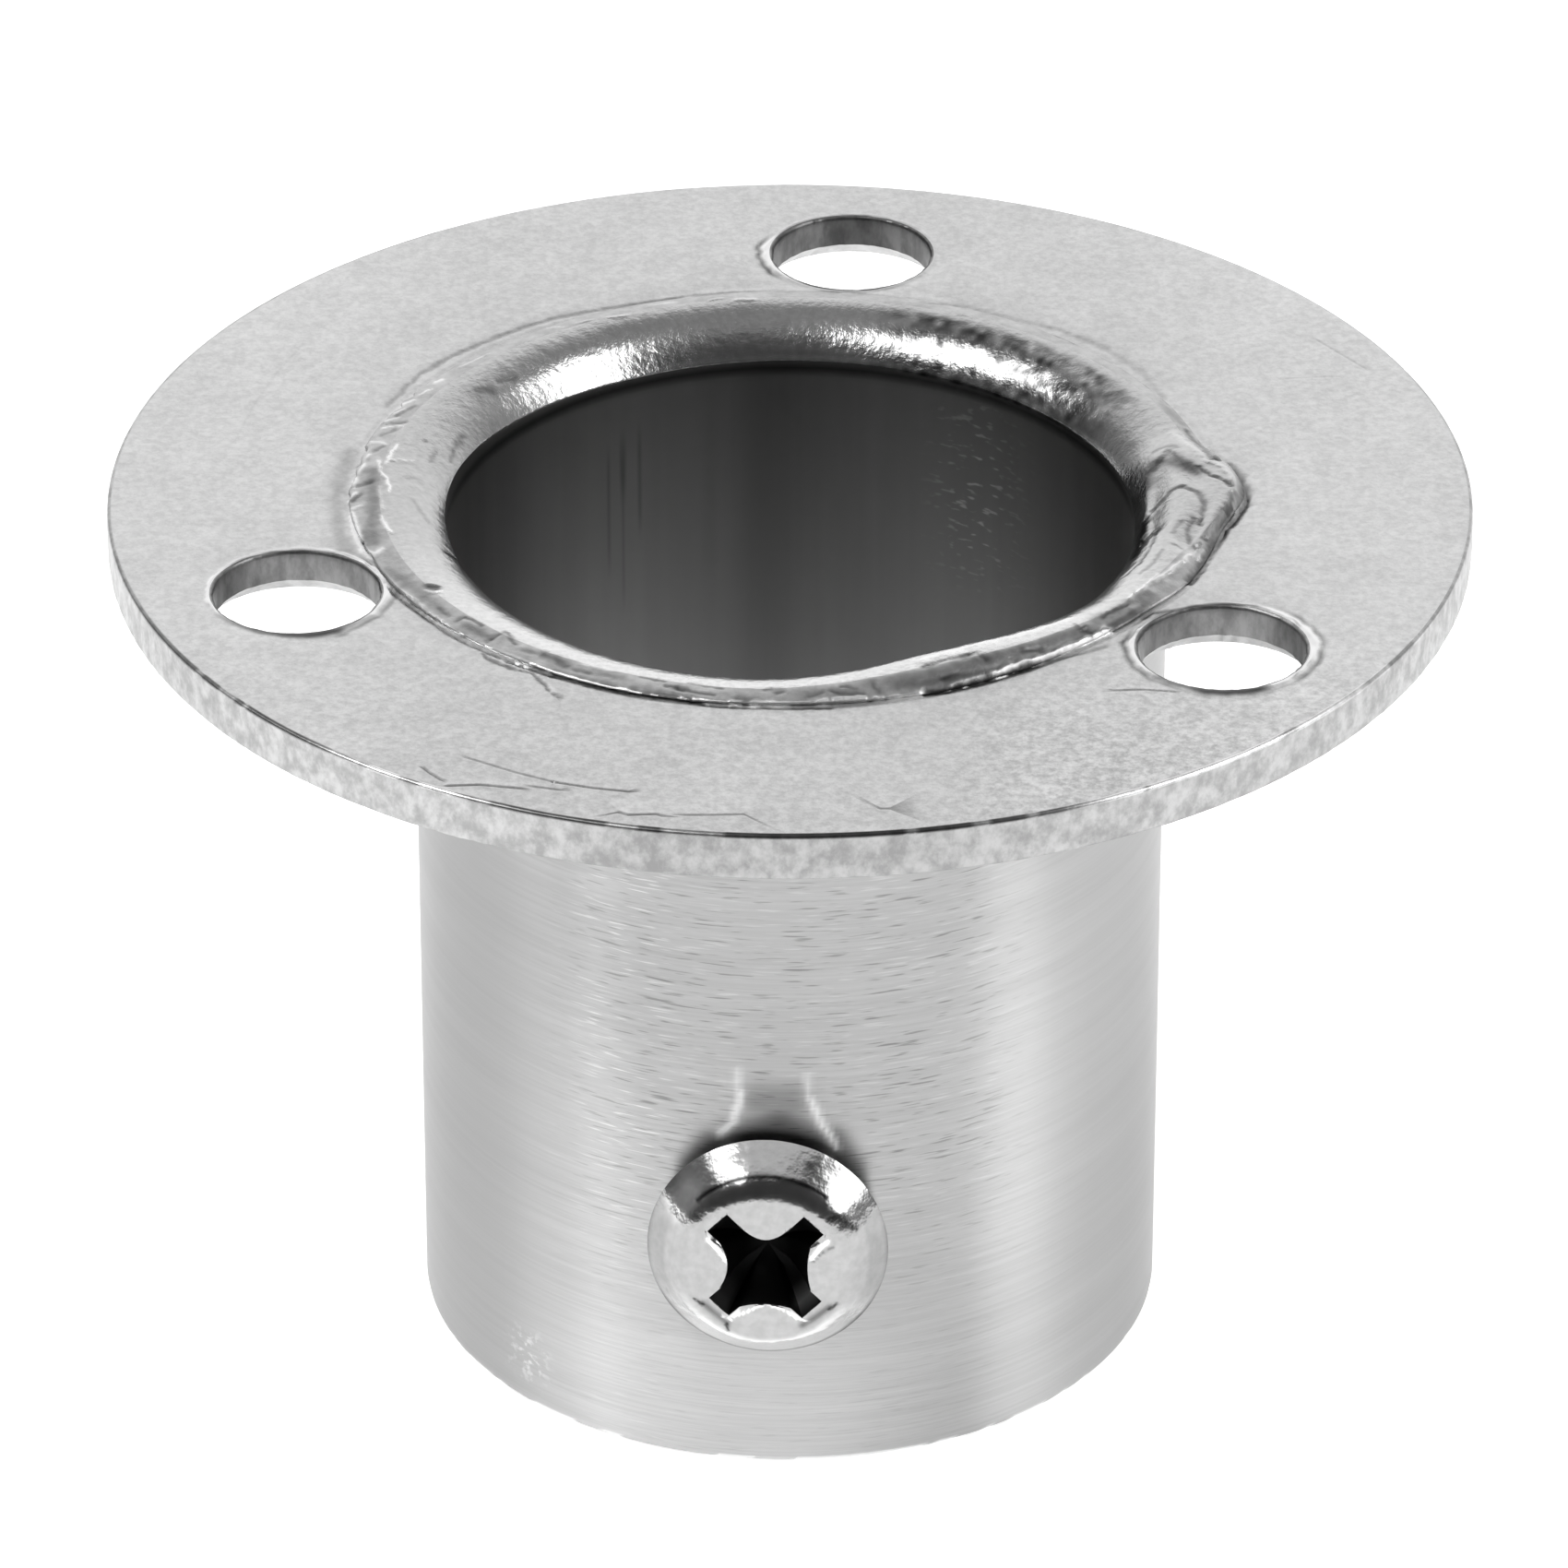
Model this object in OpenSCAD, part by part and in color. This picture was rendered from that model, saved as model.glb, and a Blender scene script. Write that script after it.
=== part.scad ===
// Closet rod flange: a round wall plate with three screw holes, a tube socket that is
// rolled over the plate's centre hole, and a set screw that holds the rod.
// It stands on the socket's open end, with the side that goes to the wall on top.
// Sizes are in mm.

/* [Rod and socket] */
// Diameter of the rod that the socket takes
rod_d = 25; // [16:0.5:40]
// Gap all round between the rod and the bore
rod_clear = 0.15; // [0.1:0.05:0.4]
// Wall of the socket below the plate
socket_wall = 1.2; // [1:0.1:2.5]
// Length of the socket below the plate
socket_depth = 31.6; // [18:0.2:60]
// Edge break inside and outside the open end
end_break = 0.2; // [0.1:0.05:0.3]

/* [Rolled lip] */
// Thickness of the rolled metal
lip_t = 0.6; // [0.4:0.05:0.6]
// How far the lip stands out past the plate's face
lip_rise = 0.2; // [0.15:0.05:0.3]
// How far below the plate the bore starts to open into the roll
roll_deep = 0.5; // [0.2:0.1:0.6]
// Gap all round between the rolled metal and the plate
lip_clear = 0.05; // [0.02:0.01:0.1]
// Width of the flat ring outside the roll
lip_flat = 0.3; // [0.2:0.05:2]
// Width of the slope from the flat ring down to the lip's edge
lip_slope = 0.45; // [0.3:0.05:1]
// How far the lip's edge stands out past the plate's face
lip_edge = 0.05; // [0.02:0.01:0.1]
// How far the fold in the lip bulges past its edge
fold_out = 0.6; // [0.3:0.05:0.8]
// How far the fold's top lies below the lip's
fold_low = 0.04; // [0.02:0.01:0.06]
// Radius of the fold's outline
fold_r = 8; // [6:0.5:10]
// Direction of the fold, in degrees from +X
fold_angle = -3; // [-12:1:50]

/* [Plate] */
// Thickness of the plate
plate_t = 1.8; // [1.4:0.1:4]
// Width of plate between the screw holes and its outer edge
plate_rim = 2.7; // [1.5:0.1:8]
// Edge break around the plate
plate_break = 0.25; // [0.1:0.05:0.4]
// Number of screw holes
hole_count = 3; // [2:1:3]
// Diameter of a screw hole
hole_d = 6; // [3:0.1:8]
// Edge break at both ends of a screw hole
hole_break = 0.15; // [0.05:0.05:0.3]
// Distance from the lip to the mouth of a screw hole
hole_gap = 0.25; // [0.1:0.05:4]
// Direction of the first screw hole, in degrees from +X
hole_angle = 83; // [70:1:90]

/* [Set screw] */
// Height of the screw's axis above the open end
screw_up = 10; // [6:0.5:12]
// Direction of the screw, in degrees from +X
screw_angle = -93.2; // [-120:0.2:-60]
// Diameter of the screw's shank
screw_d = 4; // [3:0.5:5]
// Gap all round between the shank and its hole
thread_clear = 0.05; // [0.02:0.01:0.1]
// Distance that the screw is backed off, between the socket and the head
head_gap = 0.5; // [0.2:0.05:1.5]
// Distance from the bore to the screw's tip
tip_back = 0.05; // [0.02:0.01:0.3]
// Diameter of the head under its rounded edge
head_d = 8.6; // [8:0.1:10]
// Height of the head
head_h = 1.7; // [1.6:0.1:2.4]
// Radius of the head's rounded edge
head_round = 1.9; // [1:0.1:1.9]
// Span of the cross recess
recess_span = 4.6; // [3.6:0.1:4.6]
// Width of one wing of the recess
wing_w = 0.95; // [0.7:0.05:1.1]
// Width of the recess's round centre
recess_core = 2.75; // [1.8:0.05:3]
// Depth of the recess
recess_depth = 1.5; // [1:0.1:1.6]

/* [Hidden] */
bore_r = rod_d / 2 + rod_clear;
socket_r = bore_r + socket_wall;
plate_top = socket_depth + plate_t;
lip_top = plate_top + lip_rise;
seat_z = lip_top - lip_t;
roll_r = plate_t + lip_rise + roll_deep;
roll_under = roll_r - lip_t;
roll_x = bore_r + roll_r;
roll_z = lip_top - roll_r;
lip_r = roll_x + lip_flat + lip_slope;
fold_x = lip_r + fold_out - fold_r;
hole_circle_r = lip_r + hole_gap + hole_break + hole_d / 2;
plate_r = hole_circle_r + hole_d / 2 + plate_rim;
shank_len = head_gap + socket_wall - tip_back;
head_arc_x = head_d / 2 - head_round;
$fn = 72;

// Cuts a bevel of width w around the end, at height z, of a round of radius r.
module bevel_outside(r, w, z, up) {
    translate([0, 0, z])
        mirror([0, 0, up ? 0 : 1])
            difference() {
                translate([0, 0, -w]) cylinder(r = r + 1, h = w + 1);
                translate([0, 0, -w]) cylinder(r1 = r, r2 = r - w, h = w);
            }
}

// Opens the end, at height z, of a hole of radius r by w.
module bevel_inside(r, w, z, up) {
    translate([0, 0, z])
        mirror([0, 0, up ? 0 : 1])
            translate([0, 0, -w])
                cylinder(r1 = r, r2 = r + 2 * w, h = 2 * w);
}

// Half section of the plate, with the seat that the lip is pressed into.
module plate_section() {
    difference() {
        translate([bore_r, socket_depth]) square([plate_r - bore_r, plate_t]);
        translate([bore_r - 1, seat_z]) square([lip_r + lip_clear - bore_r + 1, lip_t]);
        difference() {
            translate([bore_r - 1, socket_depth - 1])
                square([roll_x + lip_clear - bore_r + 1, plate_t + 2]);
            translate([roll_x + lip_clear, roll_z]) circle(roll_under, $fn = 48);
        }
    }
}

module flange_plate() {
    color("silver")
    difference() {
        rotate_extrude() plate_section();
        bevel_outside(plate_r, plate_break, plate_top, true);
        bevel_outside(plate_r, plate_break, socket_depth, false);
        for (i = [0 : hole_count - 1])
            rotate(hole_angle + i * 360 / hole_count)
                translate([hole_circle_r, 0, 0]) {
                    translate([0, 0, socket_depth - 1])
                        cylinder(d = hole_d, h = plate_t + 2, $fn = 48);
                    bevel_inside(hole_d / 2, hole_break, plate_top, true, $fn = 48);
                    bevel_inside(hole_d / 2, hole_break, socket_depth, false, $fn = 48);
                }
    }
}

// Half section of the socket, from the open end to the edge of the rolled lip.
module socket_section() {
    translate([bore_r, 0]) square([socket_wall, roll_z]);
    intersection() {
        translate([roll_x, roll_z]) circle(roll_r, $fn = 48);
        translate([bore_r, roll_z]) square([socket_wall, roll_deep]);
    }
    intersection() {
        translate([roll_x, roll_z])
            difference() {
                circle(roll_r, $fn = 48);
                circle(roll_under, $fn = 48);
            }
        translate([bore_r, roll_z]) square(roll_r);
    }
    polygon([
        [roll_x, seat_z],
        [lip_r, seat_z],
        [lip_r, plate_top + lip_edge],
        [roll_x + lip_flat, lip_top],
        [roll_x, lip_top]
    ]);
}

// The bulge where the rolled metal folded outward over the plate.
module lip_fold() {
    difference() {
        rotate(fold_angle)
            translate([fold_x, 0, plate_top])
                cylinder(r = fold_r, h = lip_rise - fold_low);
        translate([0, 0, plate_top - 1])
            cylinder(r = roll_x + lip_flat / 2, h = lip_rise + 2);
    }
}

module rod_socket() {
    color("gainsboro")
    difference() {
        union() {
            rotate_extrude() socket_section();
            lip_fold();
        }
        bevel_outside(socket_r, end_break, 0, false);
        bevel_inside(bore_r, end_break, 0, false);
        translate([0, 0, screw_up])
            rotate([0, 90, screw_angle])
                translate([0, 0, bore_r - 1])
                    cylinder(r = screw_d / 2 + thread_clear, h = socket_wall + 2, $fn = 32);
    }
}

// Cross recess, with its mouth at height 0 and its wings turned between the axes.
module cross_recess() {
    intersection() {
        translate([0, 0, -recess_depth])
            cylinder(r1 = recess_span / 2 - 0.55 * recess_depth, r2 = recess_span / 2,
                     h = recess_depth, $fn = 32);
        for (turn = [45, 135])
            rotate(turn)
                translate([-recess_span / 2, -wing_w / 2, -recess_depth])
                    cube([recess_span, wing_w, recess_depth + 1]);
    }
    translate([0, 0, -recess_depth])
        cylinder(r1 = wing_w / 2, r2 = recess_core / 2, h = recess_depth, $fn = 32);
}

module set_screw() {
    color("lightgray")
    translate([0, 0, screw_up])
        rotate([0, 90, screw_angle])
            translate([0, 0, socket_r + head_gap])
                difference() {
                    union() {
                        rotate_extrude() {
                            square([head_arc_x, head_h]);
                            intersection() {
                                translate([head_arc_x, head_h - head_round])
                                    circle(head_round, $fn = 48);
                                translate([head_arc_x, 0]) square([head_round, head_h]);
                            }
                        }
                        translate([0, 0, -shank_len])
                            cylinder(d = screw_d, h = shank_len, $fn = 32);
                    }
                    translate([0, 0, head_h]) cross_recess();
                }
}

flange_plate();
rod_socket();
set_screw();
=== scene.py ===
import math

import bpy
import numpy as np
from mathutils import Matrix, Vector
from mathutils.geometry import delaunay_2d_cdt


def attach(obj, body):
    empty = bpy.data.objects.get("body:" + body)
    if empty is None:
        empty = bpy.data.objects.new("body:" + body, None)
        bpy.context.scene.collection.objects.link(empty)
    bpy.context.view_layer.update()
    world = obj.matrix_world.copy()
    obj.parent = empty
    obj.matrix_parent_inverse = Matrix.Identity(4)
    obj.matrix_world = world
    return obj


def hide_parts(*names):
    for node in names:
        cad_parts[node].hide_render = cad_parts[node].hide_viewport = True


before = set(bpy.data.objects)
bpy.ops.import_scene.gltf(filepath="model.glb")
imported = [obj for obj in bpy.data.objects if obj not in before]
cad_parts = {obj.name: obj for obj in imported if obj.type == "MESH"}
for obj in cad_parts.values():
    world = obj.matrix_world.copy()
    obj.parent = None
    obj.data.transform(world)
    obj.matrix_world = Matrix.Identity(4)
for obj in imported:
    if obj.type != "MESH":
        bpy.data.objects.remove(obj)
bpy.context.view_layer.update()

# Sizes in mm, in the CAD's frame. Meshes are scaled to metres when they are made.
MM = 0.001
BORE_R, TUBE_R, PLATE_R = 12.65, 13.85, 25.0
PLATE_LOW, PLATE_TOP, PLATE_THICK = 31.6, 33.4, 1.8
HOLE_R, HOLE_CIRCLE, HOLE_ANGLES = 3.0, 19.3, (83.0, 203.0, 323.0)
PUNCHED = 1.2  # the depth to which a screw hole is straight, before it is torn wider
SCREW_Z, SCREW_DEG = 10.0, -93.2
HEAD_GAP, SAG = 0.5, 0.15  # the head's distance from the tube, and how much lower than in the CAD it sits


# ---------------------------------------------------------------- small tools
def value_noise(x, y, z, seed):
    """Smooth noise from -1 to 1 with cells of one unit, on arrays."""
    x, y, z = np.broadcast_arrays(x, y, z)
    cell = [np.floor(v).astype(np.int64) for v in (x, y, z)]
    t = [v - c for v, c in zip((x, y, z), cell)]
    t = [v * v * (3 - 2 * v) for v in t]

    def corner(dx, dy, dz):
        """A value from -1 to 1 that depends on the corner's whole numbers only."""
        n = (cell[0] + dx) * 374761393 + (cell[1] + dy) * 668265263
        n = (n + (cell[2] + dz) * 2147483629 + seed * 144665) & 0xFFFFFFFF
        n = ((n ^ (n >> 13)) * 1274126177) & 0xFFFFFFFF
        return ((n ^ (n >> 16)) & 0xFFFFFF) / 8388607.5 - 1

    def mix(a, b, k):
        return a + (b - a) * k

    rows = [mix(corner(0, dy, dz), corner(1, dy, dz), t[0]) for dz in (0, 1) for dy in (0, 1)]
    return mix(mix(rows[0], rows[1], t[1]), mix(rows[2], rows[3], t[1]), t[2])


def smoothstep(lo, hi, v):
    k = np.clip((v - lo) / (hi - lo), 0, 1)
    return k * k * (3 - 2 * k)


def bell(v, half):
    """1 where v is 0, and falling to both sides."""
    return np.exp(-((v / half) ** 2))


def around(pairs, soft=2.0):
    """A smooth function of the angle in degrees through (degrees, value) pairs."""
    step = 0.25
    grid = np.arange(-180, 180, step)
    at, value = np.array(sorted(pairs), float).T
    table = np.interp(grid, at, value, period=360)
    reach = int(4 * soft) * 4
    weight = np.exp(-0.5 * (np.arange(-reach, reach + 1) * step / soft) ** 2)
    weight /= weight.sum()
    padded = np.concatenate([table[-reach:], table, table[:reach]])
    table = np.convolve(padded, weight, "valid")
    return lambda deg: np.interp(deg, grid, table, period=360)


def ring_angles(n):
    return -180 + 360 * np.arange(n) / n


def polar(r, a):
    """Points at radii r and angles a, as rows of x and y."""
    return np.stack([r * np.cos(a), r * np.sin(a)], 1)


def ring_at(r, a, z, centre=(0, 0)):
    return np.column_stack([polar(r, a) + centre, np.full(len(a), z)])


def circle(r, n):
    turns = [2 * math.pi * i / n for i in range(n)]
    return [(r * math.cos(a), r * math.sin(a)) for a in turns]


def angle_of(x, y):
    return np.degrees(np.arctan2(y, x))


def away_from_line(x, y, line):
    best = np.full(np.shape(x), 1e9)
    for (ax, ay), (bx, by) in zip(line, line[1:]):
        dx, dy = bx - ax, by - ay
        t = np.clip(((x - ax) * dx + (y - ay) * dy) / (dx * dx + dy * dy), 0, 1)
        best = np.minimum(best, np.hypot(x - ax - t * dx, y - ay - t * dy))
    return best


def inside_loop(x, y, loop):
    hit = np.zeros(np.shape(x), bool)
    for (ax, ay), (bx, by) in zip(loop, loop[1:] + loop[:1]):
        if ay != by:
            hit ^= ((ay > y) != (by > y)) & (x < (bx - ax) * (y - ay) / (by - ay) + ax)
    return hit


def in_mm(rows, n):
    """Rows of hundredths as rows of n values and a line of (x, y) points."""
    rows = [[v / 100 for v in row] for row in rows]
    return [(*row[:n], tuple(zip(row[n::2], row[n + 1::2]))) for row in rows]


def set_shade(mesh, shade):
    """How much darker, as a share of the tone seen, the metal is at each point."""
    data = mesh.attributes.new("shade", "FLOAT", "POINT").data
    data.foreach_set("value", np.ascontiguousarray(shade, np.float32))


def new_object(name, verts, faces):
    mesh = bpy.data.meshes.new(name)
    mesh.from_pydata(verts, [], faces)
    obj = bpy.data.objects.new(name, mesh)
    bpy.context.scene.collection.objects.link(obj)
    return obj


def make_object(name, shell, materials, smooth, shaded=True):
    """A piece from a Shell in mm. Edges sharper than smooth degrees stay sharp."""
    obj = new_object(name, [tuple(v) for v in np.concatenate(shell.verts) * MM], shell.faces)
    mesh = obj.data
    for m in materials:
        mesh.materials.append(m)
    mesh.polygons.foreach_set("material_index", np.asarray(shell.tags, np.int32))
    mesh.validate()
    mesh.update()
    mesh.shade_smooth()
    mesh.set_sharp_from_angle(angle=math.radians(smooth))
    if shaded:
        set_shade(mesh, np.concatenate(shell.shades))
    return obj


class Shell:
    """A mesh put together from loops and blocks of points, with darkening by point and material by face."""

    def __init__(self):
        self.verts, self.shades, self.faces, self.tags = [], [], [], []
        self.count = 0

    def points(self, co, shade=0.0):
        """Adds points and gives their numbers."""
        self.verts.append(np.asarray(co, float))
        self.shades.append(np.broadcast_to(shade, len(co)))
        self.count += len(co)
        return list(range(self.count - len(co), self.count))

    def skin(self, numbers, tris, tag):
        self.faces += [tuple(numbers[i] for i in t) for t in tris]
        self.tags += [tag] * len(tris)

    def join(self, a, b, tag, flip=False):
        """A strip of faces between two loops. One of them may have several points for each of the other's."""
        n = min(len(a), len(b))
        for i in range(n):
            near, far = ([loop[(i * step + k) % len(loop)] for k in range(step + 1)]
                         for loop, step in ((a, len(a) // n), (b, len(b) // n)))
            face = (*near, *far[::-1])
            self.faces.append(face[::-1] if flip else face)
        self.tags += [tag] * n

    def ring(self, last, co, tag, shade=0.0, flip=False):
        """Adds a loop of points and joins it to the last one."""
        now = self.points(co, shade)
        self.join(last, now, tag, flip)
        return now

    def cap(self, loop, z, tag):
        middle = self.points([(0, 0, z)])[0]
        self.faces += [(a, b, middle) for a, b in zip(loop, loop[1:] + loop[:1])]
        self.tags += [tag] * len(loop)


# ---------------------------------------------------------------- materials
class Nodes:
    """A short way to write node trees."""

    def __init__(self, tree):
        self.tree = tree
        tree.nodes.clear()

    def add(self, kind, settings=None, **inputs):
        node = self.tree.nodes.new(kind)
        for key, value in (settings or {}).items():
            setattr(node, key, value)
        for key, value in inputs.items():
            self.put(node, key, value)
        return node

    def put(self, node, key, value):
        """Links or sets an input. i0 is its number, and a name has _ for a space."""
        numbered = key[0] == "i" and key[1:].isdigit()
        socket = node.inputs[int(key[1:]) if numbered else key.replace("_", " ")]
        if isinstance(value, bpy.types.NodeSocket):
            self.tree.links.new(value, socket)
        else:
            socket.default_value = value

    def math(self, op, a, b=0.0, clamp=False):
        return self.add("ShaderNodeMath", {"operation": op, "use_clamp": clamp}, i0=a, i1=b).outputs[0]

    def times(self, value, *others):
        for other in others:
            value = self.math("MULTIPLY", value, other)
        return value

    def plus(self, value, other):
        return self.math("ADD", value, other)

    def less(self, value, other):
        return self.math("SUBTRACT", value, other)

    def dimmed(self, value, mask, amount):
        return self.times(value, self.less(1.0, self.times(mask, amount)))

    def step(self, value, lo, hi, out_lo=0.0, out_hi=1.0):
        settings = {"interpolation_type": "SMOOTHSTEP"}
        return self.add("ShaderNodeMapRange", settings, i0=value, i1=lo, i2=hi, i3=out_lo, i4=out_hi).outputs[0]

    def window(self, value, lo, hi, edge):
        """1 between lo and hi, with soft edges."""
        return self.times(self.step(value, lo - edge, lo + edge), self.step(value, hi + edge, hi - edge))

    def swing(self, value, amount):
        """From minus half the amount to half of it."""
        return self.times(self.less(self.step(value, 0.25, 0.75), 0.5), amount)

    def dot(self, vector, direction):
        node = self.add("ShaderNodeVectorMath", {"operation": "DOT_PRODUCT"}, i0=vector, i1=tuple(direction))
        return node.outputs["Value"]

    def place(self, axis):
        where = self.add("ShaderNodeTexCoord").outputs["Object"]
        return self.add("ShaderNodeSeparateXYZ", None, Vector=where).outputs[axis]

    def noise(self, cells, detail=2.0, rough=0.5, shift=(0, 0, 0)):
        """Noise on object coordinates. cells are per metre, as one number or one for each axis."""
        where = self.add("ShaderNodeTexCoord").outputs["Object"]
        scale = cells if isinstance(cells, tuple) else (cells,) * 3
        mapped = self.add("ShaderNodeMapping", None, Vector=where, Scale=scale, Location=shift).outputs[0]
        return self.add("ShaderNodeTexNoise", None, Vector=mapped, Scale=1.0, Detail=detail, Roughness=rough).outputs[0]

    def grey(self, value):
        """A grey of this value, darkened where the mesh says so."""
        shade = self.add("ShaderNodeAttribute", {"attribute_name": "shade"}).outputs["Fac"]
        kept = self.math("POWER", self.less(1.0, shade), 2.2)
        value = self.math("MULTIPLY", value, kept, True)
        return self.add("ShaderNodeCombineColor", None, i0=value, i1=value, i2=value).outputs[0]


class Metal(Nodes):
    """A metal material and its nodes."""

    def __init__(self, name, rough):
        self.material = bpy.data.materials.new(name)
        self.material.use_nodes = True
        super().__init__(self.material.node_tree)
        self.shader = self.add("ShaderNodeBsdfPrincipled", None, Metallic=1.0, Roughness=rough)
        self.add("ShaderNodeOutputMaterial", None, Surface=self.shader.outputs[0])

    def done(self, value, height=None, depth=0.0):
        """The material, with this grey and with bumps of this depth in metres."""
        self.put(self.shader, "Base_Color", self.grey(value))
        if height is not None:
            bump = self.add("ShaderNodeBump", None, Height=height, Distance=depth, Strength=1.0)
            self.put(self.shader, "Normal", bump.outputs[0])
        return self.material


def tube_metal():
    """Brushed round the tube, so highlights smear along it."""
    n = Metal("tube_brushed", 0.4)
    x, z = n.place("X"), n.place("Z")
    lines = n.noise((140, 140, 9000), 2.0, 0.6)
    broad = n.noise((60, 60, 1200), 2.0, 0.5, (0.3, 0.1, 0.7))
    value = n.swing(lines, n.step(n.math("ABSOLUTE", x), 0.007, 0.0125, 0.07, 0.02))
    value = n.plus(value, n.step(broad, 0.3, 0.7, 0.578, 0.602))
    # short scratches, some bright and some dark, mostly in front
    dash = n.noise((760, 760, 10500), 1.5, 0.5, (0.2, 0.5, 0.1))
    bright = n.times(n.step(dash, 0.59, 0.73), n.step(x, -0.0055, -0.004, 0.26, 0.1))
    dash = n.less(bright, n.step(dash, 0.41, 0.28, 0, 0.24))
    there = n.times(n.window(x, -0.0076, 0.0078, 0.0022), n.step(z, 0.005, 0.014, 0.25, 1.0))
    value = n.plus(value, n.times(dash, there))
    # a patch of pale flecks low on the left
    patch = n.times(n.window(x, -0.0103, -0.0092, 0.0006), n.window(z, 0.0012, 0.003, 0.0007))
    patch = n.times(patch, n.step(n.place("Y"), 0.0, -0.002))
    fleck = n.step(n.noise((2500, 2500, 3500), 2.0, 0.6), 0.5, 0.66, 0, 0.3)
    value = n.plus(value, n.times(patch, fleck))
    n.shader.inputs["Anisotropic"].default_value = 0.97
    n.shader.inputs["Anisotropic Rotation"].default_value = 0.25
    tangent = n.add("ShaderNodeTangent", {"direction_type": "RADIAL", "axis": "Z"})
    n.put(n.shader, "Tangent", tangent.outputs[0])
    return n.done(value, lines, 0.000004)


def plate_metal():
    """Tumbled satin steel with fine mottling."""
    n = Metal("plate_satin", 0.36)
    mottle = n.noise(3400, 4.0, 0.65)
    broad = n.noise(420, 3.0, 0.6)
    y = n.place("Y")
    corner = n.times(n.step(n.place("X"), 0.004, 0.01), n.step(y, -0.021, -0.01, 0.16, 0.0))
    value = n.swing(mottle, n.plus(n.step(y, -0.021, -0.007, 0.21, 0.155), corner))
    return n.done(n.plus(value, n.step(broad, 0.3, 0.7, 0.657, 0.693)), mottle, 0.000014)


def edge_metal(name, low, high, rough, front, left=0.94, cells=(1500, 1500, 700)):
    """Sheared metal, as on the plate's edge and in its holes. front and left are its tone there, painted light and
    shade by side.
    """
    n = Metal(name, rough)
    marks = n.noise(cells, 4.0, 0.65)
    side = n.place("X")
    # painted light and shade by side: the tone is front in front, left on the left and 0.94 on the right
    painted_tone = n.times(n.step(side, -0.012, -0.004, left, front), n.step(side, 0.004, 0.013, 1.0, 0.94 / front))
    return n.done(n.times(n.step(marks, 0.3, 0.7, low, high), painted_tone), marks, 0.00002)


def roll_metal():
    """The stretched, shiny metal of the roll, with painted light: brighter in front."""
    n = Metal("lip_roll", 0.22)
    grain = n.noise(3600, 3.0, 0.6)
    value = n.times(n.step(grain, 0.25, 0.75, 0.54, 0.63), n.step(n.place("Y"), -0.012, -0.002, 1.45, 1.0))
    return n.done(value, grain, 0.000026)


def band_metal():
    """The pressed outer slope of the lip, matt and mottled."""
    n = Metal("lip_band", 0.37)
    grain, blot = n.noise(2600, 3.0, 0.65), n.noise(800, 2.0, 0.5)
    value = n.plus(n.step(grain, 0.25, 0.75, 0.52, 0.66), n.step(blot, 0.3, 0.7, -0.06, 0.04))
    return n.done(value, grain, 0.00002)


def bore_metal():
    """The matt inside of the tube, with painted light and shade, a darker band down it, a few scratches down it
    and some pale specks.
    """
    n = Metal("bore_dull", 0.35)
    streak = n.noise((900, 900, 40), 2.0, 0.6)
    x, z = n.place("X"), n.place("Z")
    # painted light and shade: darker near the mouth, lighter lower down and at the sides
    light = n.add("ShaderNodeMapRange", None, i0=z, i1=0.0318, i2=0.0175, i3=0.19, i4=0.32).outputs[0]
    light = n.times(light, n.step(n.math("ABSOLUTE", x), 0.003, 0.012, 1.0, 1.75), n.step(streak, 0.3, 0.7, 0.97, 1.03))
    light = n.dimmed(light, n.window(x, -0.0018, 0.0002, 0.0007), 0.16)
    # each scratch in mm: left, right, low, high
    for left, right, low, high in ((-6.9, -6.8, 24.5, 29.1), (-6.42, -6.2, 27.5, 29.5), (-6.35, -6.28, 22.8, 28.5),
                                   (-5.75, -5.62, 25.8, 29.7)):
        across = n.window(x, left * MM, right * MM, 0.00007)
        light = n.dimmed(light, n.times(across, n.window(z, low * MM, high * MM, 0.0009)), 0.26)
    speck = n.step(n.noise((1700, 1700, 5200), 1.0, 0.5), 0.59, 0.72)
    there = n.times(n.window(x, 0.006, 0.0082, 0.0013), n.window(z, 0.0245, 0.0308, 0.002))
    return n.done(n.plus(light, n.times(there, speck, 0.34)))


def screw_metal():
    """The bright, slightly uneven plating of the set screw."""
    n = Metal("screw_bright", 0.18)
    value = n.step(n.noise(2600, 3.0, 0.6), 0.25, 0.75, 0.43, 0.5)
    return n.done(value, n.noise(1300, 3.0, 0.6), 0.00003)


def recess_shade_metal():
    """The inside of the screw's recess: painted shade, near black."""
    return Metal("recess_dark", 0.5).done(0.012)
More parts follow.
